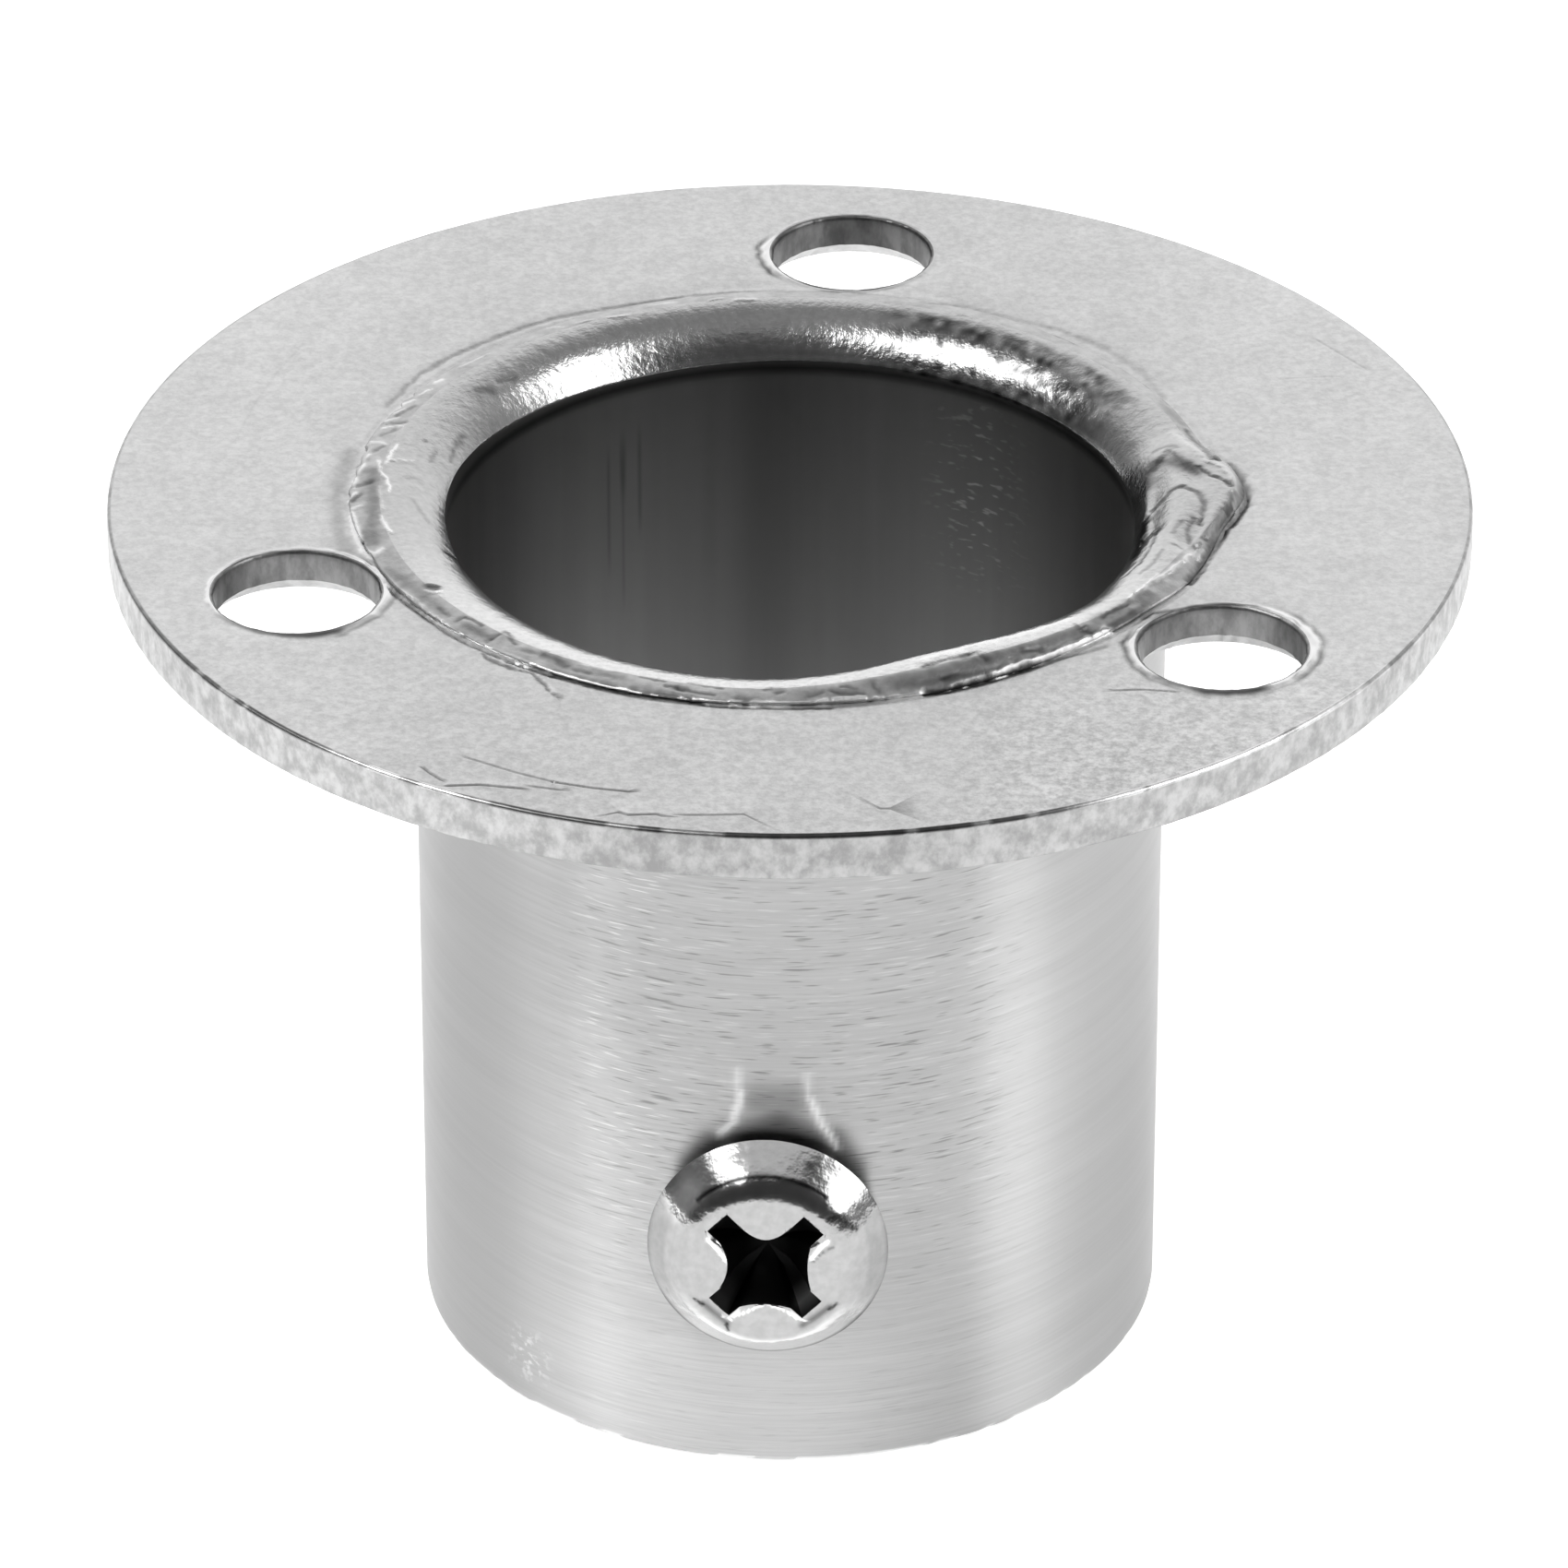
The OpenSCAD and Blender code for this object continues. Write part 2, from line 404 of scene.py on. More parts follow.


# ---------------------------------------------------------------- dents, folds and burrs
# Marks on the lip and on the plate beside it, in hundredths of a mm: half width, height, darkening (in
# hundredths too: partly painted shade in grooves, dents and beside the lip, and painted highlights on ridges where
# negative), and the points' x and y.
MARKS = in_mm((
    (34, 0, 42, 1310, 90, 1318, 169, 1336, 207, 1372, 205, 1415, 162, 1457, 122, 1487, 86),
    (10, -2, 25, 1342, 297, 1386, 298, 1432, 265),
    (9, -6, 45, 1497, 101, 1536, 30, 1578, 2, 1610, -47),
    (14, -7, 42, 1616, -90, 1607, -156, 1573, -245, 1544, -320, 1507, -412),
    (10, -5, 36, 1327, -89, 1364, -70, 1398, -49, 1435, -49, 1474, -82, 1500, -123, 1512, -177, 1503, -244, 1490,
     -310),
    (17, 5, -12, 1413, 412, 1470, 279, 1533, 144, 1582, 93, 1623, 12, 1637, -59),
    (12, 3, -35, 1616, -84, 1625, -138),
    (17, -9, 50, 1574, 158, 1620, 196, 1654, 110, 1671, 18, 1664, -88, 1634, -179, 1597, -257),
    (14, -7, 45, 1586, -278, 1546, -389, 1504, -513, 1471, -610, 1439, -686),
    (8, 4, -35, 1584, -221, 1544, -316, 1515, -393),
    (7, 3, -25, 1498, -481, 1473, -544),
    (10, 6, -32, 1471, -492, 1425, -576, 1373, -657, 1321, -713, 1269, -778, 1221, -850),
    (19, -5, 72, 1300, -124, 1287, -199, 1270, -331, 1250, -448),
    (8, -3, 30, 1337, -297, 1306, -446, 1262, -567, 1207, -642),
    (7, 3, -15, 1319, -128, 1350, -102, 1380, -104),
    (8, -2, 22, 1350, -509, 1307, -612, 1259, -669),
    (8, -2, 25, 1392, -473, 1421, -487),
    (10, -2, 22, 1420, -309, 1388, -385),
    (8, -3, 30, 1471, -277, 1442, -356, 1446, -441),
    (28, -2, 28, 1278, -822, 1182, -933, 1097, -1022),
    (29, -2, 28, 1056, -1091, 962, -1163, 879, -1227, 796, -1280, 713, -1329),
    (29, -2, 30, 663, -1356, 581, -1407, 482, -1454, 384, -1488),
    (16, -4, 30, 1056, -1096, 1076, -1102),
    (14, -3, 25, 829, -1254, 888, -1233),
    (9, -3, 30, 618, -1333, 658, -1300, 696, -1324),
    (10, -3, 30, 538, -1430, 597, -1415),
    (9, 5, -40, 1143, -1051, 1096, -1094, 1012, -1170, 928, -1238, 861, -1282, 795, -1325, 712, -1380),
    (8, 3, -25, 682, -1402, 613, -1436, 564, -1457),
    (9, -5, 50, 475, -1502, 547, -1481, 630, -1442, 729, -1389, 811, -1335, 894, -1282),
    (10, -3, 25, 911, -1263, 1011, -1215, 1127, -1155),
    (8, 3, -42, -209, -1572, -177, -1577),
    (7, 3, -35, -138, -1580, -1, -1587),
    (8, 3, -42, 100, -1574, 133, -1569),
    (8, 3, -42, 155, -1564, 181, -1559),
    (8, 3, -42, 201, -1558, 263, -1547),
    (7, 3, -40, 296, -1544, 325, -1538),
    (8, 3, -40, 351, -1542, 407, -1528, 466, -1506),
    (14, -3, 38, 155, -1525, 211, -1538, 257, -1536),
    (16, -3, 30, 296, -1492, 319, -1520),
    (14, -2, 25, 74, -1548, 116, -1530),
    (9, -2, 30, 178, -1502, 237, -1511),
    (12, -2, 30, -47, -1529, -24, -1525),
    (10, -2, 25, -187, -1557, -148, -1568),
    (8, -2, 20, -89, -1510, -63, -1506),
    (8, -2, 35, -442, -1472, -383, -1502, -327, -1521, -268, -1539),
    (7, -2, 28, -360, -1461, -301, -1480, -242, -1499),
    (11, -3, 30, -396, -1490, -376, -1497),
    (10, -3, 28, -842, -1362, -710, -1428, -579, -1487, -448, -1522, -350, -1550),
    (8, -4, 35, -350, -1554, -268, -1580, -154, -1594, 9, -1600, 139, -1594),
    (8, 4, -30, 659, -878, 692, -865),
    (8, 3, 20, 1017, -1060, 1040, -1092, 1057, -1066),
    (19, 2, -12, 467, -1350, 599, -1273, 731, -1201, 864, -1124, 999, -1012),
    (8, -3, 35, 466, -1396, 565, -1346, 638, -1307),
    (9, -3, 30, 1118, -994, 1169, -935, 1213, -896),
    (7, 3, -30, 1116, -1070, 1130, -1051, 1146, -1060),
    (6, 3, -20, -1398, -767, -1349, -837, -1297, -924, -1246, -994, -1187, -1074),
    (6, 3, -15, -1157, -1100, -1110, -1147, -1059, -1199, -1009, -1237, -925, -1299, -842, -1353),
    (10, -3, 30, -1436, -734, -1366, -850, -1297, -952, -1228, -1054, -1159, -1135, -1102, -1182, -1035, -1235),
    (12, -3, 30, -1008, -1262, -925, -1315, -842, -1362),
    (14, -7, 55, -1302, -758, -1272, -763),
    (7, 3, -30, -1311, -783, -1284, -805, -1255, -790),
    (28, 0, 22, -1439, -624, -1387, -709, -1334, -799, -1265, -895),
    (9, -3, 38, -1196, -1007, -1170, -980, -1133, -1001, -1106, -1041),
    (9, -3, 42, -1083, -1150, -1045, -1108, -1015, -1088, -991, -1142, -981, -1174),
    (21, -2, 28, -1162, -1035, -1111, -1089, -1071, -1129),
    (10, -2, 25, -1254, -915, -1226, -967),
    (19, -3, 42, -877, -1248, -837, -1281, -797, -1331),
    (10, -2, 30, -770, -1355, -711, -1383),
    (19, -1, 25, -672, -1391, -599, -1418),
    (8, -2, 30, -524, -1415, -442, -1448),
    (10, -2, 20, -960, -1217, -910, -1234),
    (7, 2, -20, -738, -1322, -679, -1355, -633, -1375),
    (7, -4, 42, -1095, -1208, -1071, -1255, -1021, -1295, -974, -1329, -921, -1349),
    (6, 2, -15, -1075, -1222, -1025, -1269, -975, -1302),
    (8, -5, 42, -911, -1355, -874, -1428, -840, -1495, -813, -1534),
    (6, 2, -20, -895, -1362, -854, -1448, -820, -1508),
    (6, 3, -35, -1450, 321, -1468, 249, -1482, 177),
    (6, 3, -38, -1513, 193, -1504, 112, -1475, 58, -1462, -44),
    (7, 3, -35, -1489, -226, -1470, -303, -1451, -351),
    (6, 2, -20, -1463, 201, -1382, 217),
    (8, 2, -20, -1503, -8, -1497, -93, -1484, -177),
    (29, -1, 28, -1534, 109, -1523, -21, -1521, -175, -1523, -310, -1503, -419),
    (14, -2, 20, -1549, -343, -1529, -425),
    (10, -4, 35, -1598, 9, -1565, 14, -1532, 37),
    (10, -4, 38, -1598, -96, -1569, -55),
    (9, -3, 30, -1581, 186, -1555, 216),
    (9, -3, 30, -1526, 276, -1493, 307),
    (10, -3, 25, -1510, 402, -1457, 436),
    (8, -3, 35, -1493, 500, -1421, 500),
    (8, -3, 25, -1454, 561, -1394, 626),
    (8, 3, -35, -1509, 465, -1437, 472),
    (7, 3, -30, -1497, 526, -1453, 536),
    (8, 3, -35, -1472, 583, -1431, 603),
    (8, 3, -35, -1437, 655, -1396, 684),
    (7, 3, -25, -1380, 721, -1350, 755, -1323, 765),
    (10, 3, -35, -1321, 816, -1298, 835),
    (8, 3, -30, -1546, 351, -1515, 341, -1487, 321),
    (8, 3, -35, -1546, 251, -1565, 204, -1579, 119),
    (8, 3, -38, -1591, 79, -1598, 2),
    (8, 3, -40, -1606, -73, -1590, -43),
    (8, 3, -35, -1599, -157, -1566, -139),
    (11, 4, -40, -1595, -186, -1585, -262, -1573, -333, -1557, -417, -1531, -479, -1500, -502, -1478, -470),
    (10, -2, 25, -1211, 503, -1246, 391, -1254, 321),
    (8, -2, 18, -1304, 326, -1326, 248),
    (12, -1, 12, -1377, -70, -1345, -146, -1316, -201),
    (7, -1, 12, -1405, 82, -1362, 99),
    (8, -2, 20, -1356, 376, -1349, 368),
    (20, -5, 50, -1234, -390, -1198, -392, -1163, -461, -1128, -509),
    (7, 2, -20, -1250, -105, -1227, -204, -1194, -301),
    (19, -2, 30, -1169, 773, -1115, 800),
    (12, -2, 20, -1092, 857, -1025, 911),
    (14, -5, 32, 1465, 444, 1493, 352, 1517, 269, 1543, 158),
    (21, -1, 15, 1386, 647, 1425, 560, 1460, 492),
    (17, -3, 10, 498, 1475, 672, 1467, 845, 1369, 1017, 1271, 1186, 1122, 1319, 922, 1389, 738),
    (11, -4, 20, -1499, 665, -1387, 914, -1270, 1062, -1169, 1159, -1033, 1279, -896, 1369, -757, 1429, -549, 1504,
     -410, 1542),
    (9, -2, 12, -410, 1557, -200, 1588, 9, 1573),
    (9, 3, -20, -907, 1265, -852, 1262),
    (10, 3, -20, -807, 1293, -755, 1314),
    (9, 3, -18, -686, 1335, -617, 1352),
    (12, 2, -15, -531, 1439, -444, 1469),
    (10, 3, -20, -305, 1480, -259, 1496),
    (10, 3, -20, -207, 1480, -130, 1481),
    (9, 4, -35, 1252, -1036, 1300, -982, 1351, -921),
    (11, -3, 45, 1270, -930, 1296, -901, 1365, -894),
    (8, 3, -30, 1038, -1151, 1092, -1111, 1142, -1063),
    (32, 0, 17, -1625, 320, -1650, 120, -1660, -100, -1640, -320, -1590, -520),
    (8, 3, -20, -1232, 941, -1181, 990, -1131, 1041),
), 3)
# The darkening of all marks, painted shade and highlights among it, is multiplied by this.
MARK_TONE = 0.88


def marks_at(x, y):
    """Height and darkening, partly painted shade and highlights, that the marks add at places."""
    z, shade = np.zeros(np.shape(x)), np.zeros(np.shape(x))
    wobble = 1 + 0.35 * value_noise(x * 2.2, y * 2.2, 0.0, 61)
    ragged = 0.05 * value_noise(x * 5, y * 5, 0.0, 62), 0.05 * value_noise(x * 5, y * 5, 4.0, 62)
    for half, height, dark, line in MARKS:
        pts = np.array(line)
        lo, hi = pts.min(0) - 3 * half, pts.max(0) + 3 * half
        near = (x > lo[0]) & (x < hi[0]) & (y > lo[1]) & (y < hi[1])
        if near.any():
            d = away_from_line(x[near] + ragged[0][near], y[near] + ragged[1][near], line)
            k = bell(d, half * wobble[near])
            z[near] += height * k
            shade[near] += MARK_TONE * dark * k
    return z, np.clip(shade, -0.3, 0.75)


# ---------------------------------------------------------------- socket
NECK_R = 13.4  # the socket's outer radius where it passes through the plate
N_OUT, N_ROLL = 19, 44  # rows of points on the lip's outer slope and on its roll
# The cliff at the back of the fold, and the line that closes its floor.
CLIFF = ((12.83, -2.5), (12.95, -0.57), (13.06, 0.8), (13.15, 1.74), (13.36, 2.19), (13.76, 2.91), (14.19, 2.63),
         (14.65, 1.51), (15.07, 0.86), (15.46, 0.37), (15.88, -0.12), (16.13, -0.74), (16.1, -1.52), (15.8, -2.36),
         (15.33, -3.52), (14.96, -4.43))
REST = ((14.25, -5.93), (13.03, -7.55), (12.17, -8.64), (12.5, -5.47))
# Painted reflection of the screw head on the tube, as dark patches and bright streaks over the screw: half width,
# darkening, and points as mm round and up the tube.
PAINTED_DARK_REFLECTIONS = (
    (0.95, 0.5, ((-0.6, 13.9), (0.4, 14.5), (1.4, 13.8))),
    (0.6, 0.36, ((-2.75, 12.7), (-2.1, 13.7))),
    (0.5, 0.36, ((2.4, 14.1), (3.15, 12.6))),
    (0.8, 0.22, ((-0.3, 15.7), (0.8, 15.7))),
)
PAINTED_BRIGHT_REFLECTIONS = (
    (0.19, 1.0, ((-1.09, 15.95), (-1.09, 15.45), (-1.3, 14.8), (-1.75, 14.15))),
    (0.17, 0.6, ((-1.07, 16.9), (-1.09, 15.85))),
    (0.18, 1.0, ((1.5, 15.75), (1.75, 15.1), (2.1, 14.4), (2.5, 13.6))),
    (0.16, 0.55, ((1.4, 16.7), (1.5, 15.75))),
)
# how much the painted bright reflections lighten the tube
PAINTED_REFLECTION_TONE = 0.27
# Painted light and shade round the tube: how its tone drifts with the angle.
TUBE_PAINTED_TONE = ((-172, 0.05), (-155, 0.047), (-139, 0.036), (-127, 0), (-120, -0.085), (-113, -0.02), (-100, -0.025),
             (-66, -0.022), (-60, 0.01), (-49, 0.055), (-41, -0.01), (-31, 0), (-16, 0.06), (0, 0.05), (90, 0))


def lip_profiles(deg):
    """Edge radius, crest radius, crest height, flat width and depth of the lip by angle, without the fold
    and with it."""
    edge = around([(-180, 16.15), (-170, 16.1), (-163, 15.95), (-155, 16.0), (-130, 15.95), (-110, 15.95),
                   (-95, 15.85), (-80, 15.8), (-70, 15.75), (-60, 15.6), (-50, 15.55), (-42, 15.6), (-35, 15.65),
                   (20, 15.55), (35, 15.6), (50, 15.75), (70, 15.85), (90, 15.8), (110, 15.75), (130, 15.8),
                   (150, 15.9), (165, 16.0)])(deg)
    crest = around([(-180, 15.05), (-95, 15.05), (-80, 14.85), (-68, 14.7), (-55, 14.75), (-40, 14.85),
                    (-25, 15.0), (30, 15.05), (120, 15.05)])(deg)
    height = around([(-180, 0.22), (-95, 0.18), (-82, 0.34), (-72, 0.5), (-62, 0.52), (-50, 0.42), (-40, 0.3),
                     (-28, 0.22), (60, 0.2), (150, 0.22)])(deg)
    flat = around([(-180, 0.0), (-92, 0.0), (-80, 0.3), (-70, 0.6), (-60, 0.62), (-50, 0.4), (-38, 0.1),
                   (-28, 0.0), (150, 0.0)])(deg)
    fold_edge = around([(-40, 15.9), (-25, 15.92), (-15, 15.9), (-10, 15.98), (-6, 16.25), (-2, 16.6), (2, 16.65),
                        (5, 16.4), (8, 16.0), (12, 15.7), (16, 15.6), (40, 15.6), (180, 15.9)], 1.0)(deg)
    fold_crest = around([(-40, 14.8), (-30, 14.85), (-18, 15.15), (-12, 15.6), (-5, 16.05), (0, 16.2), (4, 16.05),
                         (8, 15.6), (12, 15.3), (20, 15.1), (180, 15.0)], 1.0)(deg)
    fold_height = around([(-40, 0.3), (-28, 0.3), (-15, 0.42), (-5, 0.5), (5, 0.52), (15, 0.45), (180, 0.3)])(deg)
    drop = around([(-170, 0.72), (-156, 0.8), (-138, 1.0), (-115, 1.25), (0, 1.25), (120, 1.25), (145, 1.05),
                   (165, 0.8)])(deg)
    return (edge, crest, height, flat, drop), (fold_edge, fold_crest, fold_height, fold_crest - 14.65, drop)


def in_fold(deg):
    return smoothstep(-36, -26, deg) * (1 - smoothstep(8, 18, deg))


def even_rows(rows, count):
    """count rows at even lengths along the sections that rows of (radius, height) arrays describe."""
    r, z = np.array(rows).transpose(1, 0, 2)
    far = np.cumsum(np.hypot(np.diff(r, axis=0), np.diff(z, axis=0)), 0)
    far = np.concatenate([np.zeros((1, r.shape[1])), far])
    at = np.linspace(0, 1, count + 1)[1:]
    out = [[np.interp(at * far[-1, i], far[:, i], v[:, i]) for i in range(r.shape[1])] for v in (r, z)]
    return [np.array(v).T for v in out]


def lip_section(edge, crest, height, flat, drop):
    """The lip's section from its edge to where the bore begins, drop below the plate's top, as (radius, height)
    rows."""
    rows = [(edge + out, up + 0 * edge) for out, up in ((0, 0), (0.02, 0.03), (0, 0.07), (-0.05, 0.1))]
    for k in np.linspace(0.06, 1, 15):
        rows.append((edge - 0.05 + (crest - edge + 0.05) * k, 0.1 + (height - 0.1) * (1 - (1 - k) ** 1.6)))
    roll = [(crest - flat * k, height + 0.01 * np.sin(math.pi * k) * flat) for k in np.linspace(0, 1, 6)]
    end = math.radians(62.4)
    wide, tall = (crest - flat - BORE_R) / math.sin(end), (height + drop) / (1 - math.cos(end))
    for k in np.linspace(0, 1, 40)[1:]:
        roll.append((crest - flat - wide * math.sin(end * k), height - tall * (1 - math.cos(end * k))))
    r, z = even_rows(roll, N_ROLL)
    return np.concatenate([[v[0] for v in rows], r]), np.concatenate([[v[1] for v in rows], z])


def fold_drop(x, y):
    """The valley that runs along the foot of the fold's cliff."""
    d = away_from_line(x, y, CLIFF)
    deep = 0.17 * (1 - smoothstep(14.6, 15.6, x)) * smoothstep(0, 0.42, d) * (1 - smoothstep(0.42, 1.3, d))
    return np.where(inside_loop(x, y, CLIFF + REST), deep, 0)


def on_tube(x, y):
    """mm round the tube from the screw."""
    turn = angle_of(x, y) - SCREW_DEG
    return np.radians((turn + 180) % 360 - 180) * TUBE_R


def socket_shade(co):
    """Darkening at points of the socket, in mm: marks, painted reflections, and painted light and shade."""
    x, y, z = co.T
    r, deg = np.hypot(x, y), angle_of(x, y)
    shade = np.zeros(len(co))
    lip = z > 32
    shade[lip] = marks_at(x[lip], y[lip])[1]
    # painted reflection of the screw head: dark patches and bright streaks over the screw
    near = (r > NECK_R) & (z > 10) & (z < 20)
    u, up = on_tube(x[near], y[near]), z[near]
    dark, light = np.zeros(len(u)), np.zeros(len(u))
    for half, amount, line in PAINTED_DARK_REFLECTIONS:
        dark = np.maximum(dark, amount * np.exp(-((away_from_line(u, up, line) / half) ** 2.6)))
    for half, amount, line in PAINTED_BRIGHT_REFLECTIONS:
        d = away_from_line(u + 0.08 * value_noise(u * 3, up * 3, 0.0, 71), up, line)
        light = np.maximum(light, amount * bell(d, half))
    shade[near] = dark * (1 - light) - PAINTED_REFLECTION_TONE * light
    # painted light and shade on the tube: a tone that drifts round it, a paler foot in front and a darker patch beside
    # it. Pale dashes along the lower edge.
    low = 1 - smoothstep(3, 9, z)
    tone = around(TUBE_PAINTED_TONE)(deg) - 0.09 * low * bell(deg + 90, 22)
    tone += 0.06 * low * bell(deg + 58, 12)
    tone -= 0.3 * (z < 0.2) * (value_noise(x * 1.3, y * 1.3, 0.0, 74) > 0.15)
    shade += np.where((r > NECK_R) & (z < 32), tone, 0)
    # painted shade: darker on the steep front right of the lip, and darker in mottled patches where the roll's
    # highlight is brightest
    painted_dim = 0.34 * smoothstep(-76, -66, deg) * smoothstep(-30, -38, deg) * smoothstep(15.25, 15.45, r)
    painted_tone = smoothstep(24, 36, deg) * smoothstep(80, 68, deg) * smoothstep(14.9, 14.4, r)
    painted_tone *= 0.26 + 0.4 * value_noise(x * 3.2, y * 3.2, z * 3.2, 73)
    shade += np.where(lip, painted_dim + painted_tone, 0)
    # painted shadow where the roll meets the bore, with a painted light line just above it
    painted_edge_shade = bell(z - 31.85, 0.22) * 0.5 - 0.12 * bell(z - 32.25, 0.1)
    shade += np.where((r < 12.9) & (z > 31), painted_edge_shade * smoothstep(-3, 6, y), 0)
    return shade


def socket():
    """The tube and its rolled lip, as rings up its outside and down its bore. Most rings of the tube are coarse."""
    tube, band, roll, bore = range(4)
    coarse = 4
    # start, width and count of each run of angles: finest at the fold and in front
    runs = ((-34, 52, 288), (18, 229, 544), (247, 40, 224), (287, 39, 92))
    deg = np.concatenate([np.arange(n) * wide / n + start for start, wide, n in runs])
    deg = (deg + 180) % 360 - 180
    spin = np.radians(deg)
    cos, sin = np.cos(spin), np.sin(spin)
    shell = Shell()
    first = last = shell.points(ring_at(BORE_R + 0.2, spin[::coarse], 0.0))

    def add(r, z, tag, step=1):
        nonlocal last
        last = shell.ring(last, ring_at(r, spin[::step], z), tag)

    for r, z in ((TUBE_R - 0.25, 0.0), (TUBE_R - 0.1, 0.04), (TUBE_R - 0.02, 0.13), (TUBE_R, 0.25)):
        add(r, z, tube, coarse)
    u = on_tube(cos, sin)[::coarse]
    for z in np.concatenate([np.linspace(0.5, 12.6, 7), np.arange(12.8, 17.6, 0.2), np.linspace(18.5, 31.5, 6)]):
        dent = 0.12 * np.exp(-(u**2 + (z - SCREW_Z) ** 2) / 14)
        add(TUBE_R - dent, z, tube, coarse)
    # the shoulder under the plate, and the neck, which bends outward in the plate's mouth
    bend_r, bend_z, bend = 15.2, 31.1, 1.85
    under = [(TUBE_R, PLATE_LOW - 0.02), (NECK_R, PLATE_LOW - 0.02)]
    under += [(bend_r - bend * math.cos(k), bend_z + bend * math.sin(k)) for k in np.radians((20, 40, 60, 80))]
    for r, z in (*under, (15.3, PLATE_TOP - 0.02)):
        add(r, z, tube, coarse)

    plain, folded = lip_profiles(deg)
    (r0, z0), (r1, z1) = lip_section(*plain), lip_section(*folded)
    k = in_fold(deg)
    # serrated rim on the left
    left = smoothstep(140, 150, abs(deg)) * (deg > 0) + smoothstep(158, 166, abs(deg)) * (deg <= 0)
    teeth = np.maximum(value_noise(deg * 0.55, 0.0, 2.0, 9), 0)
    toothed = 8
    for i in range(N_OUT + N_ROLL):
        r, z = r0[i] + (r1[i] - r0[i]) * k, z0[i] + (z1[i] - z0[i]) * k
        if i < toothed:
            r = r - left * 0.22 * teeth * (1 - i / toothed)
        if i > 0:
            x, y = r * cos, r * sin
            z = z + marks_at(x, y)[0] - fold_drop(x, y) * k * smoothstep(12.66, 13.1, r)
        # a worn, pressed surface: fine radial marks and slow unevenness
        fine = value_noise(cos * 42, sin * 42, r * 1.3, 3)
        slow = value_noise(cos * 9, sin * 9, r * 0.9, 5)
        if 3 < i < N_OUT:
            z = z + 0.016 * fine + 0.025 * slow
        elif i >= N_OUT:
            z = z + 0.009 * fine + 0.012 * slow
        add(r, PLATE_TOP + z, band if i < N_OUT else roll)
    for z in (-1.32, -1.42, -1.55):
        add(BORE_R, PLATE_TOP + z, bore)
    for z in (31.7, 31.5, *np.linspace(31.3, 0.6, 10), 0.2):
        add(BORE_R, z, bore, coarse)
    metals = [tube_metal(), band_metal(), roll_metal(), bore_metal()]
    shell.join(last, first, tube)
    obj = make_object("rod_socket_visual", shell, metals, 35, shaded=False)
    cut_screw_hole(obj)
    co = np.empty(len(obj.data.vertices) * 3, np.float32)
    obj.data.vertices.foreach_get("co", co)
    set_shade(obj.data, socket_shade(co.reshape(-1, 3).astype(float) / MM))
    return obj


def screw_frame():
    """The matrix that takes +Z to the screw's outward axis, with its origin on the tube's axis."""
    turn = Matrix.Rotation(math.radians(SCREW_DEG), 4, "Z") @ Matrix.Rotation(math.radians(90), 4, "Y")
    return Matrix.Translation((0, 0, (SCREW_Z - SAG) * MM)) @ turn


def cut_screw_hole(obj):
    """Cuts the round hole that the screw goes through. near and far are mm from the tube's axis."""
    n, hole_r, near, far = 48, 2.12, 11.0, 15.0
    verts = [(x * MM, y * MM, z * MM) for z in (near, far) for x, y in circle(hole_r, n)]
    faces = [tuple(range(n))[::-1], tuple(range(n, 2 * n))]
    faces += [(i, (i + 1) % n, n + (i + 1) % n, n + i) for i in range(n)]
    tool = new_object("cutter", verts, faces)
    tool.matrix_world = screw_frame()
    mod = obj.modifiers.new("hole", "BOOLEAN")
    mod.object, mod.operation, mod.solver = tool, "DIFFERENCE", "EXACT"
    bpy.context.view_layer.update()
    done = bpy.data.meshes.new_from_object(obj.evaluated_get(bpy.context.evaluated_depsgraph_get()))
    spent = obj.data, tool.data
    obj.modifiers.clear()
    obj.data = done
    bpy.data.objects.remove(tool)
    for mesh in spent:
        bpy.data.meshes.remove(mesh)


# ---------------------------------------------------------------- plate
N_RIM, N_HOLE, N_IN = 720, 168, 360  # points round the plate's rim, each screw hole and the centre hole
RIM_R = 24.85
MOUTH_R, THROAT_R = 15.35, 13.45  # the centre hole's radius at the upper and the lower face
LAST_RING = 17.2  # the outermost of the fine rings of points beside the lip
GRID_R = 17.3, 24.6  # the upper face's loose grid of points lies between these radii
HOLE_CENTRES = [(HOLE_CIRCLE * math.cos(math.radians(a)), HOLE_CIRCLE * math.sin(math.radians(a)))
                for a in HOLE_ANGLES]
# Scratches on the plate's face, in hundredths like the marks: depth, darkening, and points.
SCRATCHES = in_mm((
    (2, 30, -1138, -1953, -1020, -2024, -954, -2062, -824, -2127),
    (2.5, 40, -824, -2127, -679, -2171, -550, -2197),
    (3, 45, -1193, -2153, -1081, -2146, -933, -2172),
    (2, 40, -891, -2159, -794, -2184),
    (3, 40, -596, -2337, -561, -2356, -465, -2350, -442, -2363),
    (2, 40, -366, -2356, -321, -2356),
    (2, 35, -279, -2356, -151, -2350),
    (3, 45, -1284, -2024, -1257, -2063, -1214, -2114),
    (2, 35, 313, -2311, 357, -2311),
    (2, 35, 1145, -1480, 1253, -1473, 1370, -1487),
    (1, 15, 1979, 1196, 2155, 959),
    (0.6, 6, 1827, 878, 2049, 900),
    (0.4, 5, -2052, 390, -1996, 665, -1921, 922, -1827, 1166),
), 2)
SCRATCH_TONE = 0.65
# Lines that need finer triangles, outside the fine rings beside the lip.
FINE_LINES = [s[2] for s in SCRATCHES]
FINE_LINES += [m[3] for m in MARKS if max(math.hypot(*p) for p in m[3]) > LAST_RING]
